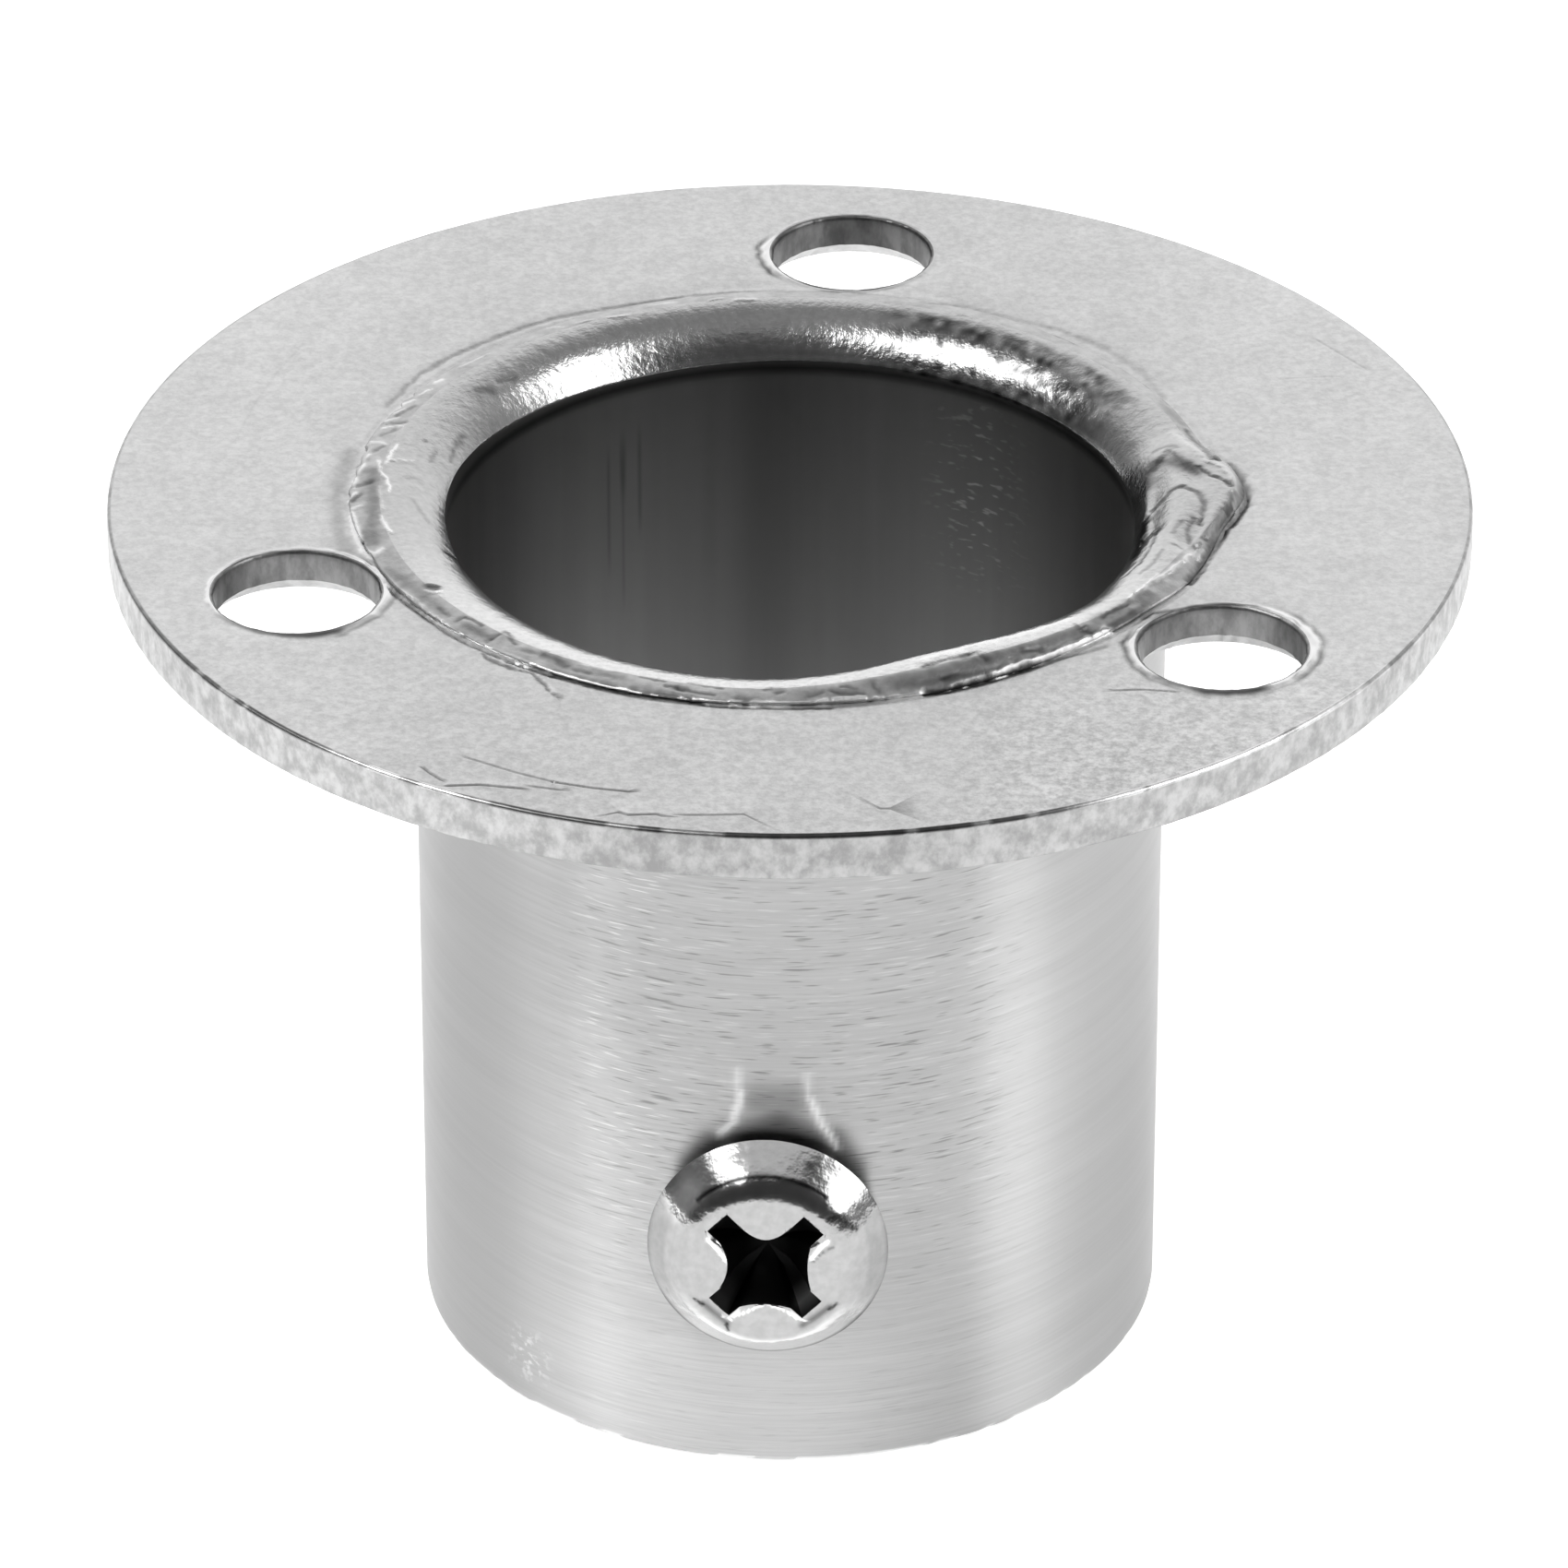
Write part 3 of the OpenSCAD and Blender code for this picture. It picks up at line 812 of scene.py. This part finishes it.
# Burrs round the holes by angle: height, darkening on the burr and just outside it (painted glints where it is
# negative, painted shade and shadow where it is positive), and width.
RIMS = (
    (((0, 0.02), (120, 0.02), (168, 0.06), (205, 0.06), (225, 0.02), (300, 0.02)),
     ((0, 0), (90, 0.1), (150, 0), (168, -0.35), (205, -0.35), (225, 0), (300, 0.15)),
     ((0, 0), (155, 0), (170, 0.45), (210, 0.45), (225, 0)),
     ((0, 1), (150, 1), (170, 1.5), (205, 1.5), (225, 1))),
    (((75, 0.02), (62, 0.07), (0, 0.07), (-25, 0.04), (-40, 0.02), (-90, 0.03), (160, 0.05), (-160, 0.05),
      (-145, 0.02), (100, 0.02)),
     ((80, 0), (66, -0.42), (-20, -0.42), (-40, 0.1), (-54, 0.3), (-62, 0.75), (-86, 0.75), (-104, 0.6),
      (-122, 0.45), (-140, 0.25), (-155, -0.2), (-165, -0.4), (160, -0.4), (150, -0.1), (120, 0)),
     ((75, 0), (50, 0.1), (0, 0.1), (-25, 0.25), (-45, 0.35), (-60, 0.2), (-80, 0), (180, 0), (100, 0)),
     ((90, 1), (60, 1.3), (20, 1.5), (-30, 1.3), (-50, 1.1), (-62, 2.1), (-84, 2.1), (-96, 1.2), (-120, 1), (180, 1))),
    (((62, 0.06), (40, 0.08), (-39, 0.08), (-69, 0.05), (-90, 0.02), (-123, 0.02), (-150, 0.06), (170, 0.06),
      (150, 0.03), (110, 0.02)),
     ((126, 0.35), (80, 0.35), (66, 0.1), (58, -0.42), (-56, -0.42), (-63, 0.3), (-68, 0.75), (-104, 0.7),
      (-116, 0.4), (-136, 0.3), (-146, -0.3), (170, -0.35), (160, 0)),
     ((62, 0), (45, 0.25), (0, 0.3), (-40, 0.3), (-70, 0.1), (-90, 0), (-145, 0.3), (-155, 0.45), (172, 0.4),
      (160, 0.1), (120, 0)),
     ((75, 1), (55, 1.4), (15, 1.6), (-30, 1.6), (-55, 1.3), (-68, 1.9), (-104, 1.9), (-120, 1), (-150, 1.3),
      (175, 1.3), (160, 1))),
)


def fill_face(loops, inside, points):
    """Triangles between closed loops of points, with loose points inside, as (verts, triangles, loops).
    inside tells, for arrays x and y, whether a place belongs to the face."""
    verts, edges = [], []
    for loop in loops:
        base = len(verts)
        verts += [tuple(p) for p in loop]
        edges += [(base + i, base + (i + 1) % len(loop)) for i in range(len(loop))]
    verts += [tuple(p) for p in points]
    out, _, tris, orig, _, _ = delaunay_2d_cdt([Vector(v) for v in verts], edges, [], 0, 1e-7, True)
    co = np.array([tuple(v) for v in out])
    tris = np.array([t for t in tris if len(t) == 3])
    mid = co[tris].mean(1)
    tris = tris[inside(mid[:, 0], mid[:, 1])]
    a, b, c = (co[tris[:, i]] for i in range(3))
    turn = (b[:, 0] - a[:, 0]) * (c[:, 1] - a[:, 1]) - (b[:, 1] - a[:, 1]) * (c[:, 0] - a[:, 0])
    tris[turn < 0] = tris[turn < 0][:, ::-1]
    number = {old: new for new, olds in enumerate(orig) for old in olds}
    where, base = [], 0
    for loop in loops:
        where.append([number[base + i] for i in range(len(loop))])
        base += len(loop)
    return co, tris, where


def plate_height(x, y):
    """Height of the plate's face over its nominal plane, and its darkening, with painted light and shade."""
    r, deg = np.hypot(x, y), angle_of(x, y)
    z, shade = marks_at(x, y)
    z = z + 0.02 * value_noise(x / 5, y / 5, 0.0, 21) + 0.008 * value_noise(x / 1.6, y / 1.6, 0.0, 22)
    # painted light: the face is a little lighter towards the sides and the back
    shade = shade - 0.045 * smoothstep(10, 20, abs(x)) - 0.02 * smoothstep(10, 20, y)
    shade = shade + 0.012 * value_noise(x / 1.1, y / 1.1, 0.0, 23)
    # groove that the lip's edge has pressed
    plain, folded = lip_profiles(deg)
    k = in_fold(deg)
    beyond = r - (plain[0] * (1 - k) + folded[0] * k)
    deep = around([(-180, 0.05), (-150, 0.05), (-135, 0.045), (-105, 0.04), (-90, 0.03), (-60, 0.04), (0, 0.06),
                   (30, 0.03), (90, 0.03), (160, 0.04)])(deg)
    z = z - deep * bell(beyond - 0.12, 0.13)
    z = z - 0.03 * bell(beyond - 0.5, 0.5)
    for i, ((cx, cy), (burr, rim, outside, width)) in enumerate(zip(HOLE_CENTRES, RIMS)):
        d = np.hypot(x - cx, y - cy) - HOLE_R
        near = d < 1.5
        turn = angle_of(x - cx, y - cy)[near]
        d = d[near]
        rough = 1 + 0.5 * value_noise(turn / 9, i * 7.0, 0.0, 31)
        wide = around(width, 4)(turn) * (1 + 0.2 * value_noise(turn / 6, i * 7.0, 0.0, 32))
        z[near] += around(burr, 4)(turn) * rough * bell(d - 0.1 - 0.11 * wide, 0.09 * wide)
        z[near] -= 0.03 * bell(d - 0.1, 0.8)
        # painted glints and shade along the burrs, and painted shadow just outside them
        shade[near] += around(rim, 2)(turn) * bell(d - 0.06 - 0.1 * wide, 0.11 * wide)
        shade[near] += around(outside, 3)(turn) * rough * bell(d - 0.2 - 0.24 * wide, 0.1)
    for depth, dark, line in SCRATCHES:
        d = away_from_line(x, y, line)
        z = z - depth * bell(d, 0.045) + 0.3 * depth * bell(d - 0.1, 0.05)
        shade = shade + SCRATCH_TONE * dark * bell(d, 0.05)
    return z, np.clip(shade, -0.3, 0.75)


def points_beside(line):
    """Rows of points on and beside a line, where they are outside the fine rings."""
    pts = []
    for (ax, ay), (bx, by) in zip(line, line[1:]):
        long = math.hypot(bx - ax, by - ay)
        ux, uy = (bx - ax) / long, (by - ay) / long
        for off in (-0.15, -0.1, -0.05, 0, 0.05, 0.1, 0.15):
            for s in np.arange(0, long, 0.12):
                p = (ax + ux * s - uy * off, ay + uy * s + ux * off)
                if math.hypot(*p) > GRID_R[0]:
                    pts.append(p)
    return pts


def plate_face(top, spacing, rng):
    """Points and triangles of the plate's upper or lower face, with the indices of its loops."""
    r_in = MOUTH_R if top else THROAT_R
    mouth = HOLE_R + (0.14 if top else 0.58)
    rim, inner, spin = (np.radians(ring_angles(n)) for n in (N_RIM, N_IN, N_HOLE))
    loops = [polar(RIM_R, rim), polar(r_in, inner)]
    loops += [polar(mouth, spin) + centre for centre in HOLE_CENTRES]

    def clear(x, y, margin):
        """Whether places are further than this from the screw holes."""
        return np.all([np.hypot(x - cx, y - cy) > mouth + margin for cx, cy in HOLE_CENTRES], 0)

    def open_metal(x, y, margin=0.0):
        r = np.hypot(x, y)
        return (r < RIM_R - margin) & (r > r_in + margin) & clear(x, y, margin)

    half = int(25 / spacing) + 1
    gx, gy = np.meshgrid(np.arange(-half, half + 1), np.arange(-half, half + 1))
    gx = (gx + 0.5 * (gy % 2)) * spacing
    gy = gy * spacing * 0.87
    grid = np.stack([gx.ravel(), gy.ravel()], 1) + rng.uniform(-0.12, 0.12, (gx.size, 2)) * spacing
    keep = open_metal(*grid.T, spacing * 0.5)
    if top:
        # the grid leaves room for the finer rings and rows of points
        far = np.hypot(*grid.T)
        keep &= clear(*grid.T, 0.8) & (far > GRID_R[0]) & (far < GRID_R[1])
        for line in FINE_LINES:
            keep &= away_from_line(*grid.T, line) > 0.22
    pts = [grid[keep]]
    if top:
        pts += [polar(r, rim) for r in (24.79, 24.72)]
        for centre in HOLE_CENTRES:
            for d in (0.04, 0.08, 0.13, 0.18, 0.23, 0.28, 0.34, 0.41, 0.5, 0.6, 0.7):
                ring = polar(mouth + d, spin) + centre
                pts.append(ring[np.hypot(*ring.T) > r_in + 0.05])
        near = np.radians(ring_angles(1080))
        for r in np.concatenate([np.arange(15.44, 17.1, 0.08), [LAST_RING]]):
            ring = polar(r, near)
            pts.append(ring[clear(*ring.T, 0.75)])
        pts.append([p for line in FINE_LINES for p in points_beside(line)])
    pts = np.concatenate(pts)
    return fill_face(loops, open_metal, pts[open_metal(*pts.T, 0.03)])


def plate():
    """The wall plate: two faces, its edge, and the walls of its four holes."""
    satin, edge, punched_wall, torn_wall = range(4)
    rng = np.random.default_rng(7)
    shell = Shell()
    # the rolled rim glints at the sides and is dark in front
    rim_shade = around([(-170, 0), (-158, 0.15), (-146, 0.35), (-134, 0.42), (-129, 0.1), (-126, -0.45), (-119, -0.45),
                        (-117, 0), (-114, 0.4), (-90, 0.5), (-71, 0.45), (-67, 0.1), (-64, -0.45), (-45, -0.4),
                        (-30, -0.2), (-15, 0), (0, 0)], 1)

    def glint(deg, cos, sin):
        return rim_shade(deg) * (value_noise(cos * 30, sin * 30, 0.0, 44) > -0.3)

    top, tris, loops = plate_face(True, 0.3, rng)
    x, y = top.T
    high, shade = plate_height(x, y)
    far = np.hypot(x, y)
    shade = np.where(far > RIM_R - 0.01, glint(angle_of(x, y), x / far, y / far), shade)
    numbers = shell.points(np.column_stack([top, PLATE_TOP + high]), shade)
    shell.skin(numbers, tris, satin)
    upper = [[numbers[i] for i in loop] for loop in loops]
    low, tris, loops = plate_face(False, 1.2, rng)
    numbers = shell.points(np.column_stack([low, np.full(len(low), PLATE_LOW)]))
    shell.skin(numbers, tris[:, ::-1], satin)
    lower = [[numbers[i] for i in loop] for loop in loops]

    def wall(k, stations, centre=(0, 0), flip=False):
        """Rings between the loops k. Each station is (height, radius, material, shade)."""
        last = upper[k]
        spin = np.radians(ring_angles(len(last)))
        for z, r, tag, shade in stations:
            last = shell.ring(last, ring_at(r, spin, z, centre), tag, shade, flip)
        shell.join(last, lower[k], tag, flip)

    # outer edge: rolled over at the top, sheared below
    deg = ring_angles(N_RIM)
    cos, sin = np.cos(np.radians(deg)), np.sin(np.radians(deg))
    stations = []
    for z in (-0.015, -0.04, -0.08, -0.16, -0.3, -0.5, -0.75, -1.0, -1.25, -1.5, -1.65, -1.74):
        rough = value_noise(cos * 60, sin * 60, z * 0.5, 41) * 0.6
        rough = rough + value_noise(cos * 130, sin * 130, z * 0.9, 42) * 0.4
        inset = 0.12 * math.exp(z / 0.035) + 0.12 * math.exp((-PLATE_THICK - z) / 0.05)
        r = PLATE_R - 0.02 - inset + 0.025 * smoothstep(0.1, 0.5, -z) * rough
        stations.append((PLATE_TOP + z, r, edge, glint(deg, cos, sin) if z > -0.1 else 0.0))
    wall(0, stations, flip=True)
    # mouth of the centre hole, under the lip
    wall(1, [(PLATE_TOP - 0.4, 14.6, satin, 0.0), (PLATE_TOP - 1.2, 13.6, satin, 0.0)])
    # screw holes: punched straight, then torn wider
    deg = ring_angles(N_HOLE)
    cos, sin = np.cos(np.radians(deg)), np.sin(np.radians(deg))
    # the punched walls get painted shade in the holes, most in the back hole and on the left of the right hole
    for k, (centre, painted_dim) in enumerate(zip(HOLE_CENTRES, (0.22, 0.06, 0.04 + 0.2 * bell(deg - 140, 35)))):
        stations = []
        for z in (-0.03, -0.08, -0.16, -0.35, -0.6, -0.9, -1.1, -PUNCHED, -1.24, -1.35, -1.5, -1.7):
            rough = value_noise(cos * 14 + 50 * k, sin * 14, z * 0.8, 51)
            torn = max(0.0, -z - PUNCHED)
            r = HOLE_R + 0.11 * math.exp(z / 0.05) + 0.025 * rough + torn * (0.95 + 0.15 * rough)
            stations.append((PLATE_TOP + z, r, *((torn_wall, 0.0) if torn else (punched_wall, painted_dim))))
        wall(2 + k, stations, centre)
    # the punched walls' low grey is painted shade in the holes, and the edge's tone by side is painted light and shade
    metals = [plate_metal(), edge_metal("plate_edge", 0.37, 0.61, 0.36, 0.83, 1.03, (1600, 1600, 1300)),
              edge_metal("hole_wall", 0.2, 0.36, 0.42, 0.94), edge_metal("hole_torn", 0.5, 0.65, 0.4, 0.94)]
    return make_object("flange_plate_visual", shell, metals, 40)


# ---------------------------------------------------------------- screw
N_HEAD, HEAD_R, HEAD_TALL = 160, 4.41, 1.7
HEAD_STRETCH = 1.015  # the head is this much taller than wide
LEAN_DEG = 2.0
THREAD_R, THREAD_DEPTH, THREAD_PITCH = 1.98, 0.36, 0.7
# Scratches and burrs on the head, with painted highlights where the darkening is negative and painted dark
# reflection lines: half width, height, darkening, and points from its middle.
HEAD_MARKS = (
    (0.06, 0.01, -0.8, ((-1.12, -2.11), (-0.71, -1.74), (-0.2, -1.36))),
    (0.07, 0.01, -0.8, ((-0.45, 1.69), (-0.95, 2.03), (-1.14, 2.28))),
    (0.035, -0.01, 0.35, ((-0.29, 1.69), (-0.77, 2.13), (-0.89, 2.47))),
    (0.14, -0.03, 0.34, ((1.6, -2.28), (2.02, -1.8), (2.4, -1.4))),
    (0.05, 0, 0.6, ((1.45, -2.6), (1.66, -2.3))),
    (0.05, 0, 0.6, ((2.45, -1.42), (2.8, -1.36))),
    (0.04, 0.03, -0.6, ((2.11, -1.55), (2.22, -1.26))),
    (0.04, 0.02, -0.6, ((2.11, -1.31), (1.9, -0.77), (1.65, -0.34), (1.53, -0.1))),
    (0.04, 0.02, -0.6, ((1.53, 0.19), (1.71, 0.68), (2.05, 1.16), (2.22, 1.55))),
    (0.14, -0.03, 0.36, ((2.4, 1.36), (2.02, 1.86), (1.62, 2.34))),
    (0.05, 0, 0.6, ((1.5, 2.6), (1.72, 2.36))),
    (0.05, -0.01, 0.5, ((-2.0, 2.28), (-2.05, 2.52), (-1.85, 2.81), (-1.35, 3.34))),
    (0.06, 0, 0.75, tuple((-3.5 * math.cos(a / 10), 3.5 * math.sin(a / 10)) for a in range(-8, 8))),
    (0.4, 0, -0.5, ((-2.0, -3.25), (-2.6, -2.75))),
)


def recess_outline():
    """The cross recess's outline at the head's face: four wings with round lobes between."""
    half, root = 0.51, 1.83
    pts = []

    def along_and_across(deg):
        a = math.radians(deg)
        return np.array([math.cos(a), math.sin(a)]), np.array([-math.sin(a), math.cos(a)])

    for q, (lobe, tip) in enumerate(((1.52, 2.43), (1.13, 2.51), (1.37, 2.51), (1.5, 2.43))):
        deg = 45 + 90 * q
        ahead, aside = along_and_across(deg)
        pts += [ahead * tip + aside * half * k for k in np.linspace(-1, 1, 5)]
        # a curved lobe to the next wing
        next_ahead, next_aside = along_and_across(deg + 90)
        p0, p1 = ahead * root + aside * half, next_ahead * root - next_aside * half
        ctrl = along_and_across(deg + 45)[0] * (2 * lobe - 0.5 * np.linalg.norm(p0 + p1))
        pts += [(1 - t) ** 2 * p0 + 2 * t * (1 - t) * ctrl + t * t * p1 for t in np.linspace(0, 1, 13)]
    return np.array(pts)


def head_profile():
    """Radii and depths below the head's face: flat, then a round shoulder, then a cone."""
    r = np.linspace(0, HEAD_R, 600)
    slope = np.interp(r, [0, 2.35, 2.75, 3.25, 3.43, 3.51, HEAD_R], [0.5, 3, 13, 36, 44, 48, 50])
    return r, np.concatenate([[0], np.cumsum(np.tan(np.radians(slope[1:])) * np.diff(r))])


def screw():
    """The screw is built along +Z, with z = 0 under its head and -x up, and then put in place."""
    bright, recess = range(2)
    inner = recess_outline()
    deg = ring_angles(N_HEAD)
    spin = np.radians(deg)
    cross = [tuple(p) for p in inner]

    def to_cross(x, y):
        return away_from_line(x, y, cross + cross[:1])

    def metal_at(x, y):
        return (np.hypot(x, y) < HEAD_R) & ~inside_loop(x, y, cross)

    pts = []
    gap = 0.085
    for r in np.arange(0.6, HEAD_R - 0.03, gap):
        n = max(12, int(2 * math.pi * r / 0.1))
        pts.append(polar(r, 2 * math.pi * (np.arange(n) + 0.5 * (int(r / gap) % 2)) / n))
    pts = np.concatenate(pts)
    pts = pts[metal_at(*pts.T)]
    pts = pts[to_cross(*pts.T) > 0.12]
    # a soft rim round the recess
    tangent = np.roll(inner, -1, 0) - np.roll(inner, 1, 0)
    normal = np.stack([tangent[:, 1], -tangent[:, 0]], 1)
    normal /= np.linalg.norm(normal, axis=1)[:, None]
    for off in (0.03, 0.06, 0.09):
        ring = inner + normal * off
        pts = np.vstack([pts, ring[metal_at(*ring.T) & (to_cross(*ring.T) > off * 0.8)]])
    co, tris, (rim, mouth) = fill_face([polar(HEAD_R, spin), inner], metal_at, pts)
    x, y = co.T
    r = np.hypot(x, y)
    rolled = 0.06 - 0.045 * smoothstep(0.7, 1.5, x)
    z = HEAD_TALL - np.interp(r, *head_profile()) - rolled * bell(to_cross(x, y), 0.04)
    z = z - 0.008 * bell(r - 2.55, 0.05)
    for size, amount in ((1.7, 0.012), (4.5, 0.006)):
        z = z + amount * value_noise(x * size, y * size, 0.0, 81) * smoothstep(2.7, 3.3, r)
    shade = np.zeros(len(co))
    for half, height, dark, line in HEAD_MARKS:
        k = bell(away_from_line(x, y, line), half)
        z, shade = z + height * k, shade + dark * k
    # painted light and shade on the head: pale on the lower shoulder, darker at the sides and along the rim, and dark
    # by the lower rim
    turn = abs(angle_of(x, y))
    shade = shade - 0.42 * smoothstep(3.0, 3.4, r) * smoothstep(75, 30, turn)
    shade = shade + 0.08 * smoothstep(3.7, 3.8, r) * smoothstep(50, 70, turn) * smoothstep(125, 105, turn)
    shade = shade + 0.14 * smoothstep(4.3, HEAD_R, r) * smoothstep(130, 100, turn)
    shade = shade + 0.5 * smoothstep(4.2, 4.33, r) * smoothstep(75, 45, turn)
    shell = Shell()
    shell.skin(shell.points(np.column_stack([co, z]), np.clip(shade, -0.8, 0.8)), tris, bright)
    # recess walls lean in to a small floor
    last = mouth
    # painted light on the walls of the lower right wing, in the recess's painted shade
    lit = -2.2 * (abs(angle_of(*inner.T) - 45) < 15)
    for depth, k, tag in ((0.12, 0.985, bright), (0.6, 0.86, recess), (1.2, 0.66, recess), (1.7, 0.4, recess)):
        depth = depth - 0.07 * smoothstep(0.7, 1.5, inner[:, 0]) * (tag == bright)
        ring = np.column_stack([inner * k, HEAD_TALL - 0.06 - depth])
        last = shell.ring(last, ring, tag, lit * (tag == recess) * (k > 0.7))
    shell.cap(last, HEAD_TALL - 1.95, recess)
    # side and underside of the head, with painted light low on its side
    last = rim
    for r, z in ((4.4, 0.03), (4.37, 0.0), (3.2, 0.0), (2.1, 0.0)):
        last = shell.ring(last, ring_at(r, spin, z), bright, -0.45 * smoothstep(85, 45, abs(deg)) * (z > 0), True)
    # threaded shank, with a shallower thread at its end
    length = HEAD_GAP + 1.15
    for z in np.linspace(-0.02, -length, 34):
        wave = smoothstep(0.2, 0.9, np.abs(2 * ((z / THREAD_PITCH + deg / 360) % 1) - 1))
        r = THREAD_R - THREAD_DEPTH * wave * (1 if z > -length + 0.15 else 0.5)
        last = shell.ring(last, ring_at(r, spin, z), bright, flip=True)
    shell.cap(last[::-1], -length, bright)
    # it leans up a little in its hole
    hinge = Matrix.Translation((0, 0, (TUBE_R + 1.2) * MM))
    lean = hinge @ Matrix.Rotation(math.radians(-LEAN_DEG), 4, "Y") @ hinge.inverted()
    place = screw_frame() @ lean
    placed = [place @ Vector((HEAD_STRETCH * x * MM, y * MM, (z + TUBE_R + HEAD_GAP) * MM))
              for x, y, z in np.concatenate(shell.verts)]
    shell.verts = [np.array([tuple(v) for v in placed]) / MM]
    return make_object("set_screw_visual", shell, [screw_metal(), recess_shade_metal()], 40)


# ---------------------------------------------------------------- stage, light and camera
def direction(azimuth, elevation):
    """azimuth is in degrees to the camera's right, as seen from the object towards the camera at 0."""
    a, e = math.radians(azimuth), math.radians(elevation)
    return Vector((math.sin(a) * math.cos(e), -math.cos(a) * math.cos(e), math.sin(e)))


def soft_box(n, look, azimuth, elevation, wide, tall, edge, turn):
    """A mask that is 1 inside a rectangle of the sky, with half sizes and edge as tangents."""
    c = direction(azimuth, elevation)
    side = Vector((0, 0, 1)).cross(c).normalized()
    side.rotate(Matrix.Rotation(math.radians(turn), 3, c))
    ahead = n.dot(look, c)
    mask = n.math("GREATER_THAN", ahead, 0.0)
    for axis, half in ((side, wide), (c.cross(side), tall)):
        off = n.math("ABSOLUTE", n.math("DIVIDE", n.dot(look, axis), n.math("MAXIMUM", ahead, 0.001)))
        mask = n.times(mask, n.step(off, half + edge, half))
    return mask


def sky():
    """A room that is bright behind the object and dim behind the camera, with two lamps. The camera itself
    sees plain white."""
    world = bpy.data.worlds.new("studio")
    bpy.context.scene.world = world
    world.use_nodes = True
    n = Nodes(world.node_tree)
    look = n.add("ShaderNodeTexCoord").outputs["Generated"]
    parts = n.add("ShaderNodeSeparateXYZ", None, Vector=look)
    high, deep = parts.outputs["Z"], parts.outputs["Y"]
    back = n.times(n.step(deep, 0.4, 0.9), n.step(high, 0.86, 0.62))
    level = n.plus(n.times(back, 0.72), n.step(deep, -0.55, 0.05, 0.06, 0.27))
    level = n.times(level, n.step(n.dot(look, direction(-115, 5)), 0.75, 0.93, 1.0, 0.4))
    left = soft_box(n, look, -78, 56, 0.28, 0.14, 0.14, 20)
    right = soft_box(n, look, 80, 37, 0.13, 0.42, 0.12, -30)
    level = n.plus(n.plus(level, n.times(left, 6.6)), n.times(right, 4.2))
    seen = n.add("ShaderNodeLightPath").outputs["Is Camera Ray"]
    final = n.add("ShaderNodeMix", {"data_type": "FLOAT"}, i0=seen, i2=level, i3=1.0).outputs[0]
    background = n.add("ShaderNodeBackground", None, Color=(1, 1, 1, 1), Strength=final)
    n.add("ShaderNodeOutputWorld", None, Surface=background.outputs[0])


def floor():
    """A white disc that glows a little where it is seen."""
    obj = new_object("floor", [(x, y, 0) for x, y in circle(3, 96)], [tuple(range(96))])
    material = bpy.data.materials.new("floor_white")
    material.use_nodes = True
    n = Nodes(material.node_tree)
    path = n.add("ShaderNodeLightPath").outputs
    seen = n.plus(path["Is Camera Ray"], path["Is Glossy Ray"])
    diffuse = n.add("ShaderNodeBsdfDiffuse", None, Color=(0.8, 0.8, 0.8, 1))
    glow = n.add("ShaderNodeEmission", None, Strength=n.times(seen, 0.6))
    both = n.add("ShaderNodeAddShader", None, i0=diffuse.outputs[0], i1=glow.outputs[0])
    n.add("ShaderNodeOutputMaterial", None, Surface=both.outputs[0])
    obj.data.materials.append(material)


def camera():
    """The camera that was fitted to the photo."""
    above, away, aim_z = 30.55, 391.9, 17.2  # degrees over the horizontal, and mm
    data = bpy.data.cameras.new("camera")
    obj = bpy.data.objects.new("camera", data)
    bpy.context.scene.collection.objects.link(obj)
    data.lens, data.sensor_width = 240.6, 36.0
    data.clip_start, data.clip_end = 0.01, 20
    e = math.radians(above)
    obj.location = Vector((0, 0, aim_z * MM)) + Vector((0, -math.cos(e), math.sin(e))) * away * MM
    # it is turned a little off that point, as the photo is framed
    pitch, yaw = math.radians(above - 0.483), math.radians(0.037)
    obj.rotation_euler = (math.radians(90) - pitch, 0, yaw)
    bpy.context.scene.camera = obj


for node, obj in (("rod_socket", socket()), ("flange_plate", plate()), ("set_screw", screw())):
    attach(obj, "root")
    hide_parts(node)
sky()
floor()
camera()
bpy.context.scene.view_settings.view_transform = "Standard"
